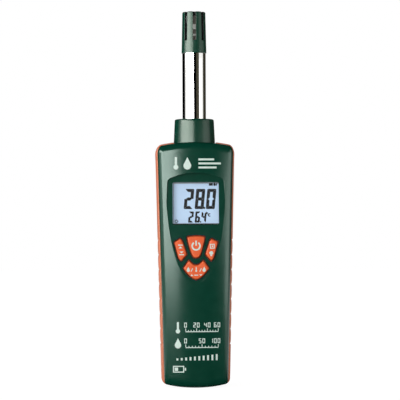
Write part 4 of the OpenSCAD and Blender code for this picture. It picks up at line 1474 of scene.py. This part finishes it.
def make_lights(studio):
    """A large light at the left, a weaker one at the right, and what the smooth surfaces reflect."""
    add_light("key_light", bearing(studio, -50, 1.0, 0.3), 0.7, 0.6, studio.key_light)
    add_light("fill_light", bearing(studio, 80, 1.0, 0.25), 0.5, 0.6, studio.fill_light)
    black = card_finish("black_card", BLACK)
    brown = card_finish("brown_card", BROWN, 0.85)
    dark = card_finish("dark_card", BROWN, 0.25)
    glow = card_finish("softbox_glow", WHITE, studio.softbox_level)
    strip, low_strip, high_strip = [
        card_finish(name, WHITE, share * studio.right_level)
        for name, share in (("right_glow", 1), ("low_right_glow", 2.6), ("high_right_glow", 0.5))]
    near, wide, far, low, high = 0.5, 1.0, 1.5, 0.001, 1.4
    cards = (
        ("softbox", wide, glow, (-86, 0.3, 0.5), (-70, 0.19, 0.5), (-44, 0.165, 0.5), (-43.9, 0.035, 0.5),
         (-36, 0.035, 0.42), (-30, 0.035, 0.36), (-24.5, 0.035, 0.34), (-20, 0.035, 0.34),
         (-6.2, 0.035, 0.34), (-6.1, 0.1, 0.34), (-5, 0.1, 0.34)),
        ("low_card", wide, black, (-110, low, 0.034), (-4, low, 0.034)),
        ("front_card", far, black, (-60, 0.2, high), (-6.2, 0.2, high), (-6.1, low, high), (22, low, high)),
        ("right_card", far, brown, (22, low, high), (50, low, high)),
        ("right_strip", far, strip, (50, low, 0.33), (82, low, 0.33)),
        ("high_strip", far, high_strip, (50, 0.33, high), (88, 0.33, high)),
        ("low_strip", near, low_strip, (21, 0.1, 0.16), (27, 0.02, 0.16), (78, 0.02, 0.16)),
        ("back_left_card", far, black, (-173, low, high), (-101, low, high)),
        ("back_right_card", far, dark, (98, low, high), (173, low, high)),
    )
    for card in cards:
        add_bent_card(studio, *card)
    corners = [(x, y, 0.85) for x, y in rectangle(-1.5, -1.5, 1.5, 1.5)]
    add_card("ceiling_card", corners, [(0, 1, 2, 3)], black)
    corners = [(x, y, 0.0006) for x, y in ((-0.9, -1.6), (0.9, -1.6), (0.1, 0.02), (-0.1, 0.02))]
    add_card("table_card", corners, [(0, 1, 2, 3)], black)


PIECES = (MakeCase, MakeGrips, MakeKeys, MakeDisplay, MakePrint, MakeProbe, MakeInside, MakeStudio)


class PsychrometerPanel(bpy.types.Panel):
    """Lists the pieces of the meter"""

    bl_idname = "VIEW3D_PT_psychrometer"
    bl_label = "Psychrometer"
    bl_space_type = "VIEW_3D"
    bl_region_type = "UI"
    bl_category = "Psychrometer"

    def draw(self, context):
        for piece in PIECES:
            self.layout.operator(piece.bl_idname)


GROUPS = {
    "psychrometer_case": CaseSizes,
    "psychrometer_probe": ProbeSizes,
    "psychrometer_finishes": Finishes,
    "psychrometer_studio": StudioSettings,
}


def register():
    for group in (*GROUPS.values(), *PIECES, PsychrometerPanel):
        bpy.utils.register_class(group)
    for name, group in GROUPS.items():
        setattr(bpy.types.Scene, name, bpy.props.PointerProperty(type=group))


def unregister():
    for name in GROUPS:
        delattr(bpy.types.Scene, name)
    for group in reversed((*GROUPS.values(), *PIECES, PsychrometerPanel)):
        bpy.utils.unregister_class(group)


def main():
    """Builds every piece and the studio."""
    register()
    bpy.ops.psychrometer.make_case()
    bpy.ops.psychrometer.make_grips()
    bpy.ops.psychrometer.make_keys()
    bpy.ops.psychrometer.make_display()
    bpy.ops.psychrometer.make_print()
    bpy.ops.psychrometer.make_probe()
    bpy.ops.psychrometer.make_inside()
    bpy.ops.psychrometer.make_studio()


if __name__ == "__main__":
    main()
